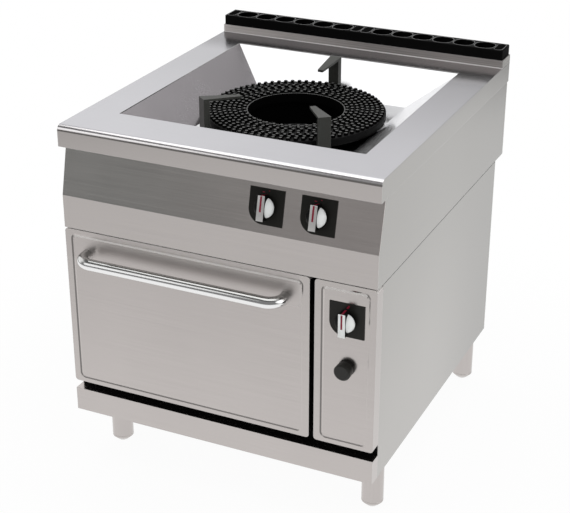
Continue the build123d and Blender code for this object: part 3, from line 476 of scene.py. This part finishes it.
class RANGE_PG_burner(bpy.types.PropertyGroup):
    """Studs and colours of the ring burner."""

    rows: IntProperty(name="Stud rows", description="Rings of studs on the crown", default=8, min=2)
    first_row: IntProperty(
        name="Studs in the first row", description="Studs of the inner ring", default=40, min=12,
    )
    added: IntProperty(
        name="Studs added", description="How many more each ring has outwards", default=5, min=0,
    )
    stud_radius: FloatProperty(
        name="Stud radius", description="Radius of a stud", default=5.9 * MM, unit="LENGTH",
    )
    stud_height: FloatProperty(
        name="Stud height", description="Height of a stud above the deck", default=5.5 * MM, unit="LENGTH",
    )
    iron: FloatVectorProperty(
        name="Iron", description="Cast iron of the burner",
        subtype="COLOR", size=3, default=(0.004, 0.004, 0.004),
    )
    # Painted highlight: grey on the tops of the studs and of the raised inner rim.
    top_highlight: FloatVectorProperty(
        name="Bare iron", description="Worn tops of the studs",
        subtype="COLOR", size=3, default=(0.092, 0.092, 0.09),
    )
    # Soot and painted shade: blackens the bore, the studs' sides and the burner body in the hole.
    soot: FloatVectorProperty(
        name="Soot", description="Sooty iron between the studs",
        subtype="COLOR", size=3, default=(0.0015, 0.0015, 0.0015),
    )
    support: FloatVectorProperty(
        name="Pan supports", description="Dull steel bars",
        subtype="COLOR", size=3, default=(0.036, 0.037, 0.032),
    )


class RANGE_PG_controls(bpy.types.PropertyGroup):
    """Colours of the controls."""

    plate: FloatVectorProperty(
        name="Plate", description="Control plate",
        subtype="COLOR", size=3, default=(0.016, 0.0155, 0.0135),
    )
    grip: FloatVectorProperty(
        name="Grip", description="Silver bar of a knob",
        subtype="COLOR", size=3, default=(0.60, 0.59, 0.58),
    )
    # Painted highlight: the white of the right half of each dome and of the thermostat's bar face.
    dome: FloatVectorProperty(
        name="Dome", description="Pale base of a knob",
        subtype="COLOR", size=3, default=(0.86, 0.88, 0.87),
    )
    skirt: FloatVectorProperty(
        name="Skirt", description="Black part of a knob",
        subtype="COLOR", size=3, default=(0.004, 0.004, 0.004),
    )
    mark: FloatVectorProperty(
        name="Mark", description="Red pointer line",
        subtype="COLOR", size=3, default=(0.22, 0.010, 0.030),
    )


class RANGE_PG_stage(bpy.types.PropertyGroup):
    """Camera and light."""

    camera: FloatVectorProperty(
        name="Camera", description="Place of the camera",
        subtype="TRANSLATION", size=3, default=(1.3633, -2.963, 2.0105), unit="LENGTH",
    )
    azimuth: FloatProperty(
        name="Azimuth", description="Turn to the right of the front",
        default=radians(25.02), subtype="ANGLE",
    )
    elevation: FloatProperty(
        name="Elevation", description="Height above the horizon",
        default=radians(25.33), subtype="ANGLE",
    )
    lens: FloatProperty(
        name="Lens", description="Focal length in millimetres", default=89.16, unit="CAMERA",
    )
    floor: FloatVectorProperty(
        name="Floor", description="Pale studio floor", subtype="COLOR", size=3, default=(0.9, 0.9, 0.9),
    )


class RANGE_OT_sheet_steel(bpy.types.Operator):
    """Finishes the stainless panels, worktop, hopper, door and legs"""

    bl_idname = "range.sheet_steel"
    bl_label = "Stainless sheet"

    bend_height = 727.6 * MM
    bend_blur = 0.5 * MM
    fold_radius = 1.8 * MM
    fold_steps = 6
    back_strip = (173.6 * MM, 68.2 * MM)
    left_shade = 0.42
    front_shade = 0.22
    groove_band = (10.0 * MM, 29.0 * MM)
    groove_blur = 1.0 * MM
    top_band = (30.0 * MM, 28.0 * MM)
    flank = (0.15, 0.25)
    below_handle = 12.0 * MM
    behind_start = 8.0 * MM
    beside_handle = (30.0 * MM, 10.0 * MM)
    behind_share = 0.5
    groove_roughness = 0.6
    well_roughness = 0.11
    middle_share = 0.8
    nose_forward = (-0.2, -0.45)
    nose_upward = (0.2, 0.45)
    frontward = (0.3, -0.3)
    level = (0.9, 0.98)
    front_fade = (0.1, 0.7)
    side_fade = (0.2, 0.8)
    rear_fade = (-0.1, 0.45)
    upstand_fade = (0.1, -0.35)
    # Painted shade on the dark flank of the left groove.
    groove_shade = 0.42
    rear_tone = 0.86
    # Painted light on the upstand's left end.
    upstand_left_light = 2.0

    def rightward(self, graph):
        """A mask that grows to the right."""
        low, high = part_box("worktop")
        return beyond("X", self.middle_share * low.x, self.middle_share * high.x)(graph)

    def flue_reflection_shade(self, graph):
        """Painted shade for the worktop's reflection of the dark upstand and flue: a mask that grows over
        the worktop towards the flue, mostly on the right.
        """
        deep = beyond("Y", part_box("worktop")[0].y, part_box("rear_upstand")[0].y)(graph)
        right = self.rightward(graph)
        rear = deep * (self.left_shade + (1.0 - self.left_shade) * right)
        return facing_up(graph) * graph.clamp(rear + self.front_shade * right * (1.0 - deep))

    def by_flue(self, graph):
        """The strip of the worktop right in front of the upstand, which takes painted shade, and on its
        right a painted highlight.
        """
        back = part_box("rear_upstand")[0].y
        start, full = self.back_strip
        return facing_up(graph) * beyond("Y", back - start, back - full)(graph)

    def right_strip_highlight(self, graph):
        """The right part of that strip, which gets a painted highlight."""
        return self.by_flue(graph) * self.rightward(graph)

    def nose_highlight(self, graph):
        """The rounded front edge of the worktop, which gets a painted highlight."""
        return tilted("Y", *self.nose_forward)(graph) * tilted("Z", *self.nose_upward)(graph)

    def leaning(self, graph):
        """The leaning part of the control panel, above its bend."""
        return beyond("Z", self.bend_height - self.bend_blur, self.bend_height + self.bend_blur)(graph)

    def leaning_right(self, graph):
        """The right end of the leaning part."""
        return self.leaning(graph) * self.rightward(graph)

    def left_groove(self, side):
        """A mask on one flank of the upright groove at the left of the door and service panel."""

        def mask(graph):
            bands = 0.0
            for node in ("door_skin", "service_panel"):
                start, end = (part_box(node)[0].x + edge for edge in self.groove_band)
                starts = beyond("X", start, start + self.groove_blur)(graph)
                bands = bands + starts * beyond("X", end, end - self.groove_blur)(graph)
            return bands * tilted("X", *(side * turn for turn in self.flank))(graph)

        return mask

    def top_groove(self, graph):
        """The lower flank of the level groove at the top of the door and service panel."""
        start, full = (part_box("door_skin")[1].z - drop for drop in self.top_band)
        return tilted("Z", *self.flank)(graph) * beyond("Z", start, full)(graph)

    def behind_handle(self, graph):
        """The part of the door behind the handle."""
        low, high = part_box("door_handle")
        height = beyond("Z", low.z - self.below_handle, low.z + self.behind_start)(graph)
        door = beyond("X", *(high.x + reach for reach in self.beside_handle))(graph)
        return height * door * tilted("Y", *self.frontward)(graph)

    def dulled(self, graph):
        """The top groove, and half as much the part of the door behind the handle."""
        return graph.clamp(self.top_groove(graph) + self.behind_share * self.behind_handle(graph))

    def fold(self):
        """The rounded inner corner where the worktop turns up into the upstand."""
        bm = bmesh.new()
        low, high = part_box("rear_upstand")
        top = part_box("worktop")[1].z
        centre = (low.y - self.fold_radius, top + self.fold_radius)
        line = arc(centre, self.fold_radius, -90.0, 0.0, self.fold_steps)
        line.append((low.y, top))
        left, right = ([bm.verts.new((x, y, z)) for y, z in line] for x in (low.x, high.x))
        wrap(bm, left, right)
        bm.faces.new(left)
        bm.faces.new(right)
        return bm

    def execute(self, context):
        colours = context.scene.range_steel
        self.top(colours)
        # Painted light on the leaning part of the panel, paler still at its right end.
        panel_zones = ((self.leaning, colours.panel), (self.leaning_right, colours.panel_right_light))
        coat(sheet_steel("panel_steel", colours.body, zones=panel_zones), "control_panel")
        front_zones = (
            (beyond("Z", *self.front_fade), colours.body),
            # Painted light: the door behind the handle is made paler against the handle's shadow.
            (self.behind_handle, colours.low),
            # Painted shade and painted highlight on the two flanks of the left groove.
            (self.left_groove(1.0), toned(colours.body, self.groove_shade)),
            (self.left_groove(-1.0), colours.low),
            # Painted highlight on the lower flank of the top groove.
            (self.top_groove, colours.groove),
        )
        dull = (self.dulled, self.groove_roughness)
        front = sheet_steel("front_steel", colours.low, zones=front_zones, sheen=dull)
        coat(front, "door_skin", "service_panel", "base_tray", "upper_back", "lower_back")
        rearward = (beyond("Y", *self.rear_fade), toned(colours.side, self.rear_tone))
        side_zones = ((beyond("Z", *self.side_fade), colours.side), rearward)
        side = sheet_steel("side_steel", colours.side_low, grain="Y", zones=side_zones)
        coat(side, "upper_side_left", "upper_side_right", "lower_side_left", "lower_side_right")
        legs = sheet_steel("leg_steel", colours.low, grain="Z")
        coat(legs, "leg_sleeves", "foot_front_left", "foot_front_right", "foot_rear_left", "foot_rear_right")
        return {"FINISHED"}

    def top(self, colours):
        """Finishes the worktop, the upstand with its fold, and the hopper."""
        top_zones = (
            (facing_up, colours.top),
            # Painted shade towards the flue and on the strip before the upstand.
            (self.flue_reflection_shade, colours.shade),
            (self.by_flue, colours.shade),
            # Painted highlights: the right of the back strip and the rounded nose are made paler.
            (self.right_strip_highlight, colours.bright),
            (self.nose_highlight, colours.bright),
            (facing_right, colours.side),
        )
        coat(sheet_steel("top_steel", colours.body, zones=top_zones), "worktop")
        # Painted light: the upstand grows lighter towards its left end.
        lit_left_end = (beyond("X", *self.upstand_fade), toned(colours.upstand, self.upstand_left_light))
        dull = sheet_steel(
            "upstand_steel", colours.upstand, roughness=0.5, streak=0.3, metallic=0.3,
            zones=(lit_left_end, (facing_right, colours.side)),
        )
        coat(dull, "rear_upstand")
        bend = polished("fold_steel", colours.fold, roughness=0.34)
        piece("upstand_fold", self.fold(), "cabinet", [bend])
        # Painted shade: the hopper's left wall, which faces right, is toned darker than the others.
        bright = sheet_steel(
            "hopper_steel", colours.hopper, roughness=0.24, streak=0.03,
            zones=((facing_right, colours.hopper_left_shade),), sheen=(tilted("Z", *self.level), self.well_roughness),
        )
        coat(bright, "hopper")


class RANGE_OT_oven(bpy.types.Operator):
    """Finishes the oven and what is inside the cabinet"""

    bl_idname = "range.oven"
    bl_label = "Oven"

    enamel_black = (0.018, 0.018, 0.022)
    enamel_fleck = (0.35, 0.36, 0.38)
    frame_black = (0.004, 0.004, 0.004)
    wool_yellow = (0.55, 0.47, 0.30)
    seal_black = (0.03, 0.03, 0.03)
    wire_bright = (0.72, 0.72, 0.72)

    def execute(self, context):
        plain = sheet_steel("plain_steel", context.scene.range_steel.hidden, roughness=0.4, streak=0.08)
        coat(plain, "deck_plate", "shelf_runners", "oven_burner", "oven_flue_duct", "hinge_brackets")
        coat(plain, "burner_rails", "door_hinge_lugs")
        glass = enamel("oven_enamel", self.enamel_black, self.enamel_fleck)
        coat(glass, "oven_liner", "oven_floor", "door_liner")
        paint = moulding("frame_paint", self.frame_black, roughness=0.6, grain=700.0, specular=0.05)
        coat(paint, "oven_frame")
        coat(fibre("mineral_wool", self.wool_yellow), "oven_insulation", "door_insulation")
        coat(fibre("seal_braid", self.seal_black, scale=420.0), "door_gasket")
        coat(polished("shelf_wire", self.wire_bright, roughness=0.12), "oven_shelf")
        return {"FINISHED"}


class RANGE_OT_gas_line(bpy.types.Operator):
    """Finishes the taps, pipes and jets"""

    bl_idname = "range.gas_line"
    bl_label = "Gas line"

    brass = (0.66, 0.48, 0.20)
    brass_dark = (0.22, 0.13, 0.06)
    copper = (0.70, 0.36, 0.22)
    copper_dark = (0.20, 0.09, 0.06)

    def execute(self, context):
        brass = tarnished("tap_brass", self.brass, self.brass_dark)
        coat(brass, "left_tap_body", "right_tap_body", "thermostat_body", "left_tap_plug", "right_tap_plug")
        coat(brass, "thermostat_plug", "gas_inlet", "gas_injectors")
        coat(tarnished("pipe_copper", self.copper, self.copper_dark, roughness=0.25), "gas_pipes")
        pipe = sheet_steel("manifold_steel", context.scene.range_steel.hidden, roughness=0.45, streak=0.1)
        coat(pipe, "gas_manifold")
        return {"FINISHED"}


class RANGE_OT_burner(bpy.types.Operator):
    """Builds the burner crown with all its studs, and finishes the burner and pan supports"""

    bl_idname = "range.burner"
    bl_label = "Ring burner"

    IRON, BARE, SOOT = range(3)
    segments = 144
    bore = 118.0 * MM
    shoulder = 3.0 * MM
    under_round = 8.0 * MM
    shoulder_steps = 6
    under_steps = 5
    rim_width = 4.0 * MM
    rim_rise = 2.0 * MM
    rim_steps = 3
    edge_gap = 4.0 * MM
    bore_skin = 0.5 * MM
    deck_skin = 0.2 * MM
    stud_root = 1.5 * MM
    stud_sides = 12
    stud_rings = ((1.0, 0.0), (0.84, 0.72), (0.76, 0.92), (0.64, 1.0))
    row_shift = 0.15

    def execute(self, context):
        sizes = context.scene.range_burner
        low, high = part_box("burner_crown")
        outer = (high.x - low.x) / 2
        centre = ((low.x + high.x) / 2, (low.y + high.y) / 2)
        deck = high.z - sizes.stud_height
        bm = bmesh.new()
        lathe(bm, self.profile(outer, low.z, deck), self.segments, centre)
        for face in bm.faces:
            middle = face.calc_center_median()
            if (middle.xy - Vector(centre)).length < self.bore + self.bore_skin:
                # Painted shade: the bore is blackened.
                face.material_index = self.SOOT
            else:
                # Painted highlight on the raised inner rim above the deck.
                face.material_index = self.BARE if middle.z > deck + self.deck_skin else self.IRON
        first = self.bore + self.rim_width + self.edge_gap
        last = outer - self.shoulder - sizes.stud_radius
        for row in range(sizes.rows):
            radius = first + (last - first) * row / (sizes.rows - 1)
            count = sizes.first_row + row * sizes.added
            for step in range(count):
                angle = tau * (step + self.row_shift * row * row) / count
                spot = (centre[0] + radius * cos(angle), centre[1] + radius * sin(angle))
                self.stud(bm, spot, deck - self.stud_root, high.z, sizes.stud_radius)
        iron = cast_iron("stud_iron", sizes.iron, roughness=0.55, specular=0.07)
        top_highlight = cast_iron("crown_highlight_iron", sizes.top_highlight, roughness=0.55, specular=0.12)
        soot = cast_iron("sooty_shaded_iron", sizes.soot, roughness=0.8, specular=0.015)
        crown = piece("burner_crown_studded", bm, "cabinet", [iron, top_highlight, soot])
        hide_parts("burner_crown")
        # Soot and painted shade on the burner body down in the hole.
        coat(soot, "burner_body", "burner_pilot", "flame_probe")
        # The pan supports get only a faint painted highlight on their edges.
        bars = sheet_steel(
            "support_steel", sizes.support, grain="Z", roughness=0.5, streak=0.1, metallic=0.35, edge_highlight=0.12,
        )
        coat(bars, "pan_support_left", "pan_support_right", "pan_support_back")
        return {"FINISHED"}

    def profile(self, outer, bottom, deck):
        """The crown's section: a raised inner rim, a level deck and a rounded outer edge."""
        bead = self.rim_rise / 2
        rim_height = deck + self.rim_rise - bead
        rim_end = self.bore + self.rim_width
        line = [(self.bore, bottom)]
        line += arc((self.bore + bead, rim_height), bead, 180.0, 90.0, self.rim_steps)
        line += arc((rim_end - bead, rim_height), bead, 90.0, 0.0, self.rim_steps)
        line += [(rim_end, deck)]
        above = (outer - self.shoulder, deck - self.shoulder)
        line += arc(above, self.shoulder, 90.0, 0.0, self.shoulder_steps)
        below = (outer - self.under_round, bottom + self.under_round)
        line += arc(below, self.under_round, 0.0, -90.0, self.under_steps)
        return line

    def stud(self, bm, spot, bottom, top, radius):
        """One round stud with a tapered side in soot and painted shade, and a small grey top as a painted
        highlight.
        """
        layers = []
        for share, rise in self.stud_rings:
            layer = []
            for side in range(self.stud_sides):
                angle = tau * side / self.stud_sides
                x = spot[0] + share * radius * cos(angle)
                y = spot[1] + share * radius * sin(angle)
                layer.append(bm.verts.new((x, y, bottom + (top - bottom) * rise)))
            layers.append(layer)
        # Soot and painted shade on the stud's side and bottom.
        for lower, upper in zip(layers, layers[1:]):
            wrap(bm, lower, upper, self.SOOT)
        bm.faces.new(layers[0]).material_index = self.SOOT
        # Painted highlight: the stud's small top is grey.
        bm.faces.new(layers[-1]).material_index = self.BARE


class RANGE_OT_flue(bpy.types.Operator):
    """Finishes the flue casting, and adds the rims of its openings and the blind half cells beside them"""

    bl_idname = "range.flue"
    bl_label = "Flue"

    cells = 6
    end_margin = 27.8 * MM
    bar = 3.4 * MM
    wall = 4.0 * MM
    corner = 22.0 * MM
    corner_steps = 8
    narrow_corner = 0.48
    rim = 0.9 * MM
    rim_sides = 6
    rim_sink = 0.6
    soot = 0.15 * MM
    casting_black = (0.003, 0.003, 0.003)
    # Painted highlight: grey along the cell edges of the black casting.
    rim_highlight_grey = (0.18, 0.18, 0.18)
    soot_black = (0.001, 0.001, 0.001)

    def execute(self, context):
        casting = cast_iron(
            "flue_enamel", self.casting_black, roughness=0.6, grain=500.0, relief=0.15 * MM, specular=0.035,
        )
        coat(casting, "flue_grille")
        low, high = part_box("flue_grille")
        middle = (low.y + high.y) / 2
        depth = high.y - low.y - 2 * self.wall
        pitch = (high.x - low.x - 2 * self.end_margin) / (2 * self.cells + 1)
        rims = bmesh.new()
        for step in range(-self.cells, self.cells + 1):
            if step:
                self.ring(rims, (step * pitch, middle), high.z, (pitch - self.bar, depth))
        blind = bmesh.new()
        end = self.end_margin - self.bar / 2 - self.wall
        end_place = (self.cells + 0.5) * pitch + self.bar / 2 + end / 2
        for side in (-1, 1):
            for place, width in ((pitch / 4, pitch / 2 - self.bar), (end_place, end)):
                self.ring(rims, (side * place, middle), high.z, (width, depth))
                self.patch(blind, (side * place, middle), high.z, (width, depth))
        # Painted highlight: the rims are grey against the black casting.
        edge = cast_iron("flue_rim", self.rim_highlight_grey, roughness=0.45)
        piece("flue_rims", rims, "cabinet", [edge])
        black = cast_iron("flue_soot", self.soot_black, roughness=0.8, specular=0.01)
        piece("flue_half_cells", blind, "cabinet", [black])
        return {"FINISHED"}

    def outline(self, middle, size, grow=0.0):
        """The rounded outline of a cell, set outwards by grow."""
        radius = min(self.corner, self.narrow_corner * size[0])
        inset = (size[0] / 2 - radius, size[1] / 2 - radius)
        line = []
        for number, (side_x, side_y) in enumerate(((1, 1), (-1, 1), (-1, -1), (1, -1))):
            centre = (middle[0] + side_x * inset[0], middle[1] + side_y * inset[1])
            line += arc(centre, radius + grow, 90.0 * number, 90.0 * number + 90.0, self.corner_steps)
        return line

    def ring(self, bm, middle, top, size):
        """A thin round bead along the edge of one cell."""
        loops = []
        for side in range(self.rim_sides):
            angle = tau * side / self.rim_sides
            height = top + self.rim * (sin(angle) - self.rim_sink)
            line = self.outline(middle, size, self.rim * cos(angle))
            loops.append([bm.verts.new((x, y, height)) for x, y in line])
        for inner, outer in zip(loops, loops[1:] + loops[:1]):
            wrap(bm, inner, outer)

    def patch(self, bm, middle, top, size):
        """The sooty floor of a half cell, a thin layer on the casting."""
        face = bm.faces.new([bm.verts.new((x, y, top)) for x, y in self.outline(middle, size)])
        raise_face(bm, face, self.soot)


class RANGE_OT_controls(bpy.types.Operator):
    """Finishes the control plates and igniter, and builds the knobs with their pointer lines"""

    bl_idname = "range.controls"
    bl_label = "Controls"

    FACE, PALE, RED, DARK = range(4)
    grip = (16.5 * MM, 57.0 * MM, 25.0 * MM)
    grip_face = (1.5 * MM, 1.0 * MM)
    grip_round = 1.6 * MM
    round_share = 0.3
    round_steps = 3
    dome = (24.0 * MM, 17.0 * MM)
    dome_segments = 56
    dome_steps = 14
    dome_angles = (6.0, 89.5)
    skirt = 5.0 * MM
    knob_back = 8.0 * MM
    thin = 0.2 * MM
    line_width = 4.5 * MM
    line_share = 0.62
    line_rise = 0.17
    line_end = 2.0 * MM
    spindle = (4.0 * MM, 32.0 * MM)
    spindle_segments = 24
    plate_face = 2.0 * MM
    film = 0.12 * MM
    # Painted reflections of the red pointer line on the plates.
    tap_reflections = (((-12, 31), (-6, 31), (-6, 33), (-12, 33)), ((3, 35), (6, 35), (6, 37), (3, 37)))
    scale_reflections = (((-2, 29.5), (3, 29.5), (7, 36), (4, 38)),)

    def execute(self, context):
        colours = context.scene.range_controls
        black = moulding("plate_black", colours.plate, roughness=0.35, grain=900.0, specular=0.15)
        coat(black, "left_tap_plate", "right_tap_plate", "thermostat_plate")
        coat(moulding("button_black", colours.plate), "igniter_button", "igniter_barrel")
        silver = sheet_steel(
            "knob_silver", colours.grip, grain="Y", roughness=0.35, streak=0.04, edge=0.6 * MM, metallic=0.6,
        )
        # White for the painted highlights on the domes and on the thermostat's bar.
        pale = moulding("knob_highlight", colours.dome, roughness=0.25)
        dark = moulding("knob_black", colours.skirt, roughness=0.45, grain=900.0, specular=0.08)
        red = moulding("knob_red", colours.mark, roughness=0.35)
        for name in ("left_tap", "right_tap", "thermostat"):
            where = self.seat(JOINTS[f"{name}_turn"])
            bm = self.knob()
            bm.transform(where)
            # The thermostat's bar face is white as a painted highlight; the taps' bars are silver.
            face = pale if name == "thermostat" else silver
            knob = piece(f"{name}_knob_shaped", bm, f"{name}_push", [face, pale, red, dark])
            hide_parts(f"{name}_knob")
            # Painted reflections of the red line in the plate.
            bm = self.marks(self.scale_reflections if name == "thermostat" else self.tap_reflections)
            bm.transform(where)
            piece(f"{name}_marks", bm, "cabinet", [red])
        return {"FINISHED"}

    def seat(self, joint):
        """The frame of a knob: x to the right, z out of the panel along the joint's axis."""
        outward = Vector(joint["axis"])
        across = Vector((1.0, 0.0, 0.0))
        turn = Matrix((across, outward.cross(across), outward)).transposed().to_4x4()
        return Matrix.Translation(Vector(joint["pos_m"])) @ turn

    def marks(self, outlines):
        """Painted reflections of the red pointer line in the glossy plate, a hair above the plate."""
        bm = bmesh.new()
        for outline in outlines:
            face = bm.faces.new([bm.verts.new((x * MM, y * MM, self.plate_face)) for x, y in outline])
            raise_face(bm, face, self.film)
        return bm

    def knob(self):
        """A dome on a black skirt, its right half white as a painted highlight, with a bar grip across it
        and a red line up the bar.
        """
        bm = bmesh.new()
        low = self.knob_back
        thin = self.thin
        radius, rise = self.dome
        waist = low + self.skirt
        dome = [(thin, low), (radius, low), (radius, waist)]
        curve = arc((0.0, 0.0), 1.0, *self.dome_angles, self.dome_steps)
        dome += [(radius * x, waist + rise * y) for x, y in curve]
        lathe(bm, dome, self.dome_segments, (0.0, 0.0))
        for face in bm.faces:
            middle = face.calc_center_median()
            # Painted highlight: the dome's right half above the skirt is white, the rest black.
            face.material_index = self.PALE if middle.z > waist and middle.x > 0.0 else self.DARK
        width, length, height = self.grip
        top = low + height
        face_depth, body_drop = self.grip_face
        self.bar(bm, (width, length), low, top - body_drop, self.DARK)
        self.bar(bm, (width, length), top - face_depth, top, self.FACE)
        line = (self.line_width, self.line_share * length)
        self.bar(bm, line, top - thin, top + thin, self.RED, (0.0, self.line_rise * length))
        end = (self.line_width, 2 * thin)
        self.bar(bm, end, low, top - self.line_end, self.RED, (0.0, 0.5 * length))
        radius, depth = self.spindle
        shaft = [(thin, -depth), (radius, -depth), (radius, low), (thin, low)]
        lathe(bm, shaft, self.spindle_segments, (0.0, 0.0))
        return bm

    def bar(self, bm, size, bottom, top, material, middle=(0.0, 0.0)):
        """A block with rounded edges."""
        made = bmesh.ops.create_cube(bm, size=1.0)["verts"]
        for vert in made:
            vert.co.x = vert.co.x * size[0] + middle[0]
            vert.co.y = vert.co.y * size[1] + middle[1]
            vert.co.z = bottom + (vert.co.z + 0.5) * (top - bottom)
        faces = {face for vert in made for face in vert.link_faces}
        edges = {edge for vert in made for edge in vert.link_edges}
        for face in faces:
            face.material_index = material
        soft = min(self.grip_round, self.round_share * (top - bottom), self.round_share * min(size))
        bmesh.ops.bevel(
            bm, geom=list(edges), offset=soft, segments=self.round_steps, profile=0.5,
            affect="EDGES", material=-1,
        )


class RANGE_OT_handle(bpy.types.Operator):
    """Finishes the door handle"""

    bl_idname = "range.handle"
    bl_label = "Door handle"

    chrome_bright = (0.84, 0.84, 0.84)
    # Painted shade on the top of the handle.
    chrome_top_shade = (0.60, 0.60, 0.59)

    def execute(self, context):
        tube = chrome("handle_chrome", self.chrome_bright, self.chrome_top_shade, roughness=0.08, edge=4.0 * MM)
        coat(tube, "door_handle")
        return {"FINISHED"}


class RANGE_OT_stage(bpy.types.Operator):
    """Sets up the pale floor, soft light and camera"""

    bl_idname = "range.stage"
    bl_label = "Studio"

    lamps = (
        # name, place, target, width in metres, watts
        ("overhead", (0.0, 0.3, 3.4), (0.0, 0.1, 0.8), 4.2, 60.0),
        ("front_left", (-2.6, -3.2, 2.4), (0.0, 0.0, 0.5), 2.4, 13.0),
        ("right", (3.6, -0.8, 2.0), (0.2, 0.0, 0.5), 3.4, 26.0),
    )
    fill_strength = 0.55
    room_strength = 1.1
    room_dim = 0.88
    overhead_dim = 0.95
    floor_half = 15.0
    floor_fade = (2.4, 4.5)
    floor_dim = 0.8
    shadow_reach = (0.7, 1.4)
    shadow_share = 0.05
    sensor_width = 36.0
    sight = 100.0

    def execute(self, context):
        settings = context.scene.range_stage
        context.scene.view_settings.view_transform = "Standard"
        self.world(context)
        self.floor(context, settings)
        for lamp in self.lamps:
            self.lamp(context, *lamp)
        self.camera(context, settings)
        return {"FINISHED"}

    def shown(self, graph):
        """1 for rays that show the background: camera, glossy and transmission rays."""
        return graph.clamp(
            graph.ray("Is Camera Ray") + graph.ray("Is Glossy Ray") + graph.ray("Is Transmission Ray")
        )

    def world(self, context):
        """A white page for the camera, a studio room for reflections and an even fill for the rest."""
        world = bpy.data.worlds.new("studio")
        context.scene.world = world
        world.use_nodes = True
        graph = Graph(world.node_tree)
        fill = graph.add("ShaderNodeBackground", None, {"Color": WHITE, "Strength": self.fill_strength})
        room = graph.add("ShaderNodeBackground", None, {"Color": WHITE, "Strength": self.room(graph)})
        lit = graph.add("ShaderNodeMixShader", None, {0: self.shown(graph), 1: fill, 2: room})
        page = graph.add("ShaderNodeBackground", None, {"Color": WHITE, "Strength": 1.0})
        seen = graph.add("ShaderNodeMixShader", None, {0: graph.ray("Is Camera Ray"), 1: lit, 2: page})
        graph.add("ShaderNodeOutputWorld", None, {"Surface": seen})

    def room(self, graph):
        """Brightness of the studio by direction: dim in front, at the back right and overhead."""
        way = graph.add("ShaderNodeTexCoord", None, None, "Generated")
        east, north, rise = (graph.part(way, axis) for axis in "XYZ")
        front = graph.span(0.0 - north, 0.0, 0.45)
        back_right = graph.span(east, -0.15, 0.35) * graph.span(north, 0.1, 0.5)
        dim = graph.clamp(front + back_right) * (1.0 - graph.span(rise, 0.5, 0.8))
        overhead = graph.span(rise, 0.55, 0.78)
        return self.room_strength - self.room_dim * dim - self.overhead_dim * overhead

    def floor(self, context, settings):
        """A pale floor with the shadow near the range, white further out and dim far off in reflections."""
        half = self.floor_half
        corners = [(-half, -half, 0), (half, -half, 0), (half, half, 0), (-half, half, 0)]
        mesh = bpy.data.meshes.new("floor")
        mesh.from_pydata(corners, [], [(0, 1, 2, 3)])
        floor = bpy.data.objects.new("floor", mesh)
        context.scene.collection.objects.link(floor)
        material = bpy.data.materials.new("studio_floor")
        material.use_nodes = True
        graph = Graph(material.node_tree)
        spot = graph.place((1.0, 1.0, 0.0))
        reach = graph.add("ShaderNodeVectorMath", {"operation": "LENGTH"}, {0: spot}, "Value")
        far = graph.span(reach, *self.floor_fade)
        pool = 1.0 - self.floor_dim * far * (1.0 - graph.ray("Is Camera Ray"))
        paper = graph.add("ShaderNodeBsdfDiffuse", None, {"Color": rgba(settings.floor)})
        glow = graph.add("ShaderNodeEmission", None, {"Color": graph.blend(pool, BLACK, WHITE)})
        past_shadow = graph.span(reach, *self.shadow_reach)
        share = self.shown(graph) * (1.0 - self.shadow_share + self.shadow_share * past_shadow)
        mixed = graph.add("ShaderNodeMixShader", None, {0: share, 1: paper, 2: glow})
        graph.add("ShaderNodeOutputMaterial", None, {"Surface": mixed})
        mesh.materials.append(material)

    def lamp(self, context, name, place, target, size, power):
        """A soft round lamp that points at a target."""
        data = bpy.data.lights.new(name, "AREA")
        data.shape = "DISK"
        data.size = size
        data.energy = power
        lamp = bpy.data.objects.new(name, data)
        lamp.location = place
        lamp.rotation_euler = (Vector(target) - Vector(place)).to_track_quat("-Z", "Y").to_euler()
        context.scene.collection.objects.link(lamp)

    def camera(self, context, settings):
        """The camera at the photograph's viewing angle."""
        data = bpy.data.cameras.new("photo_camera")
        data.sensor_width = self.sensor_width
        data.sensor_fit = "HORIZONTAL"
        data.lens = settings.lens
        data.clip_end = self.sight
        camera = bpy.data.objects.new("photo_camera", data)
        camera.location = settings.camera
        level = cos(settings.elevation)
        right = sin(settings.azimuth) * level
        toward = cos(settings.azimuth) * level
        back = Vector((right, -toward, sin(settings.elevation)))
        camera.rotation_euler = (-back).to_track_quat("-Z", "Y").to_euler()
        context.scene.collection.objects.link(camera)
        context.scene.camera = camera


class RANGE_PT_panel(bpy.types.Panel):
    """Lists the steps and settings of the range"""

    bl_idname = "RANGE_PT_panel"
    bl_label = "Gas paella range"
    bl_space_type = "VIEW_3D"
    bl_region_type = "UI"
    bl_category = "Range"

    def draw(self, context):
        for step in STEPS:
            self.layout.operator(step.bl_idname)
        for name, group in GROUPS.items():
            box = self.layout.box()
            for prop in group.__annotations__:
                box.prop(getattr(context.scene, name), prop)


GROUPS = {
    "range_steel": RANGE_PG_steel,
    "range_burner": RANGE_PG_burner,
    "range_controls": RANGE_PG_controls,
    "range_stage": RANGE_PG_stage,
}
STEPS = (
    RANGE_OT_sheet_steel,
    RANGE_OT_oven,
    RANGE_OT_gas_line,
    RANGE_OT_burner,
    RANGE_OT_flue,
    RANGE_OT_controls,
    RANGE_OT_handle,
    RANGE_OT_stage,
)


def register():
    for cls in (*GROUPS.values(), *STEPS, RANGE_PT_panel):
        bpy.utils.register_class(cls)
    for name, group in GROUPS.items():
        setattr(bpy.types.Scene, name, PointerProperty(type=group))


def unregister():
    for name in GROUPS:
        delattr(bpy.types.Scene, name)
    for cls in reversed((*GROUPS.values(), *STEPS, RANGE_PT_panel)):
        bpy.utils.unregister_class(cls)


def main():
    register()
    for step in STEPS:
        family, action = step.bl_idname.split(".")
        getattr(getattr(bpy.ops, family), action)()


if __name__ == "__main__":
    main()
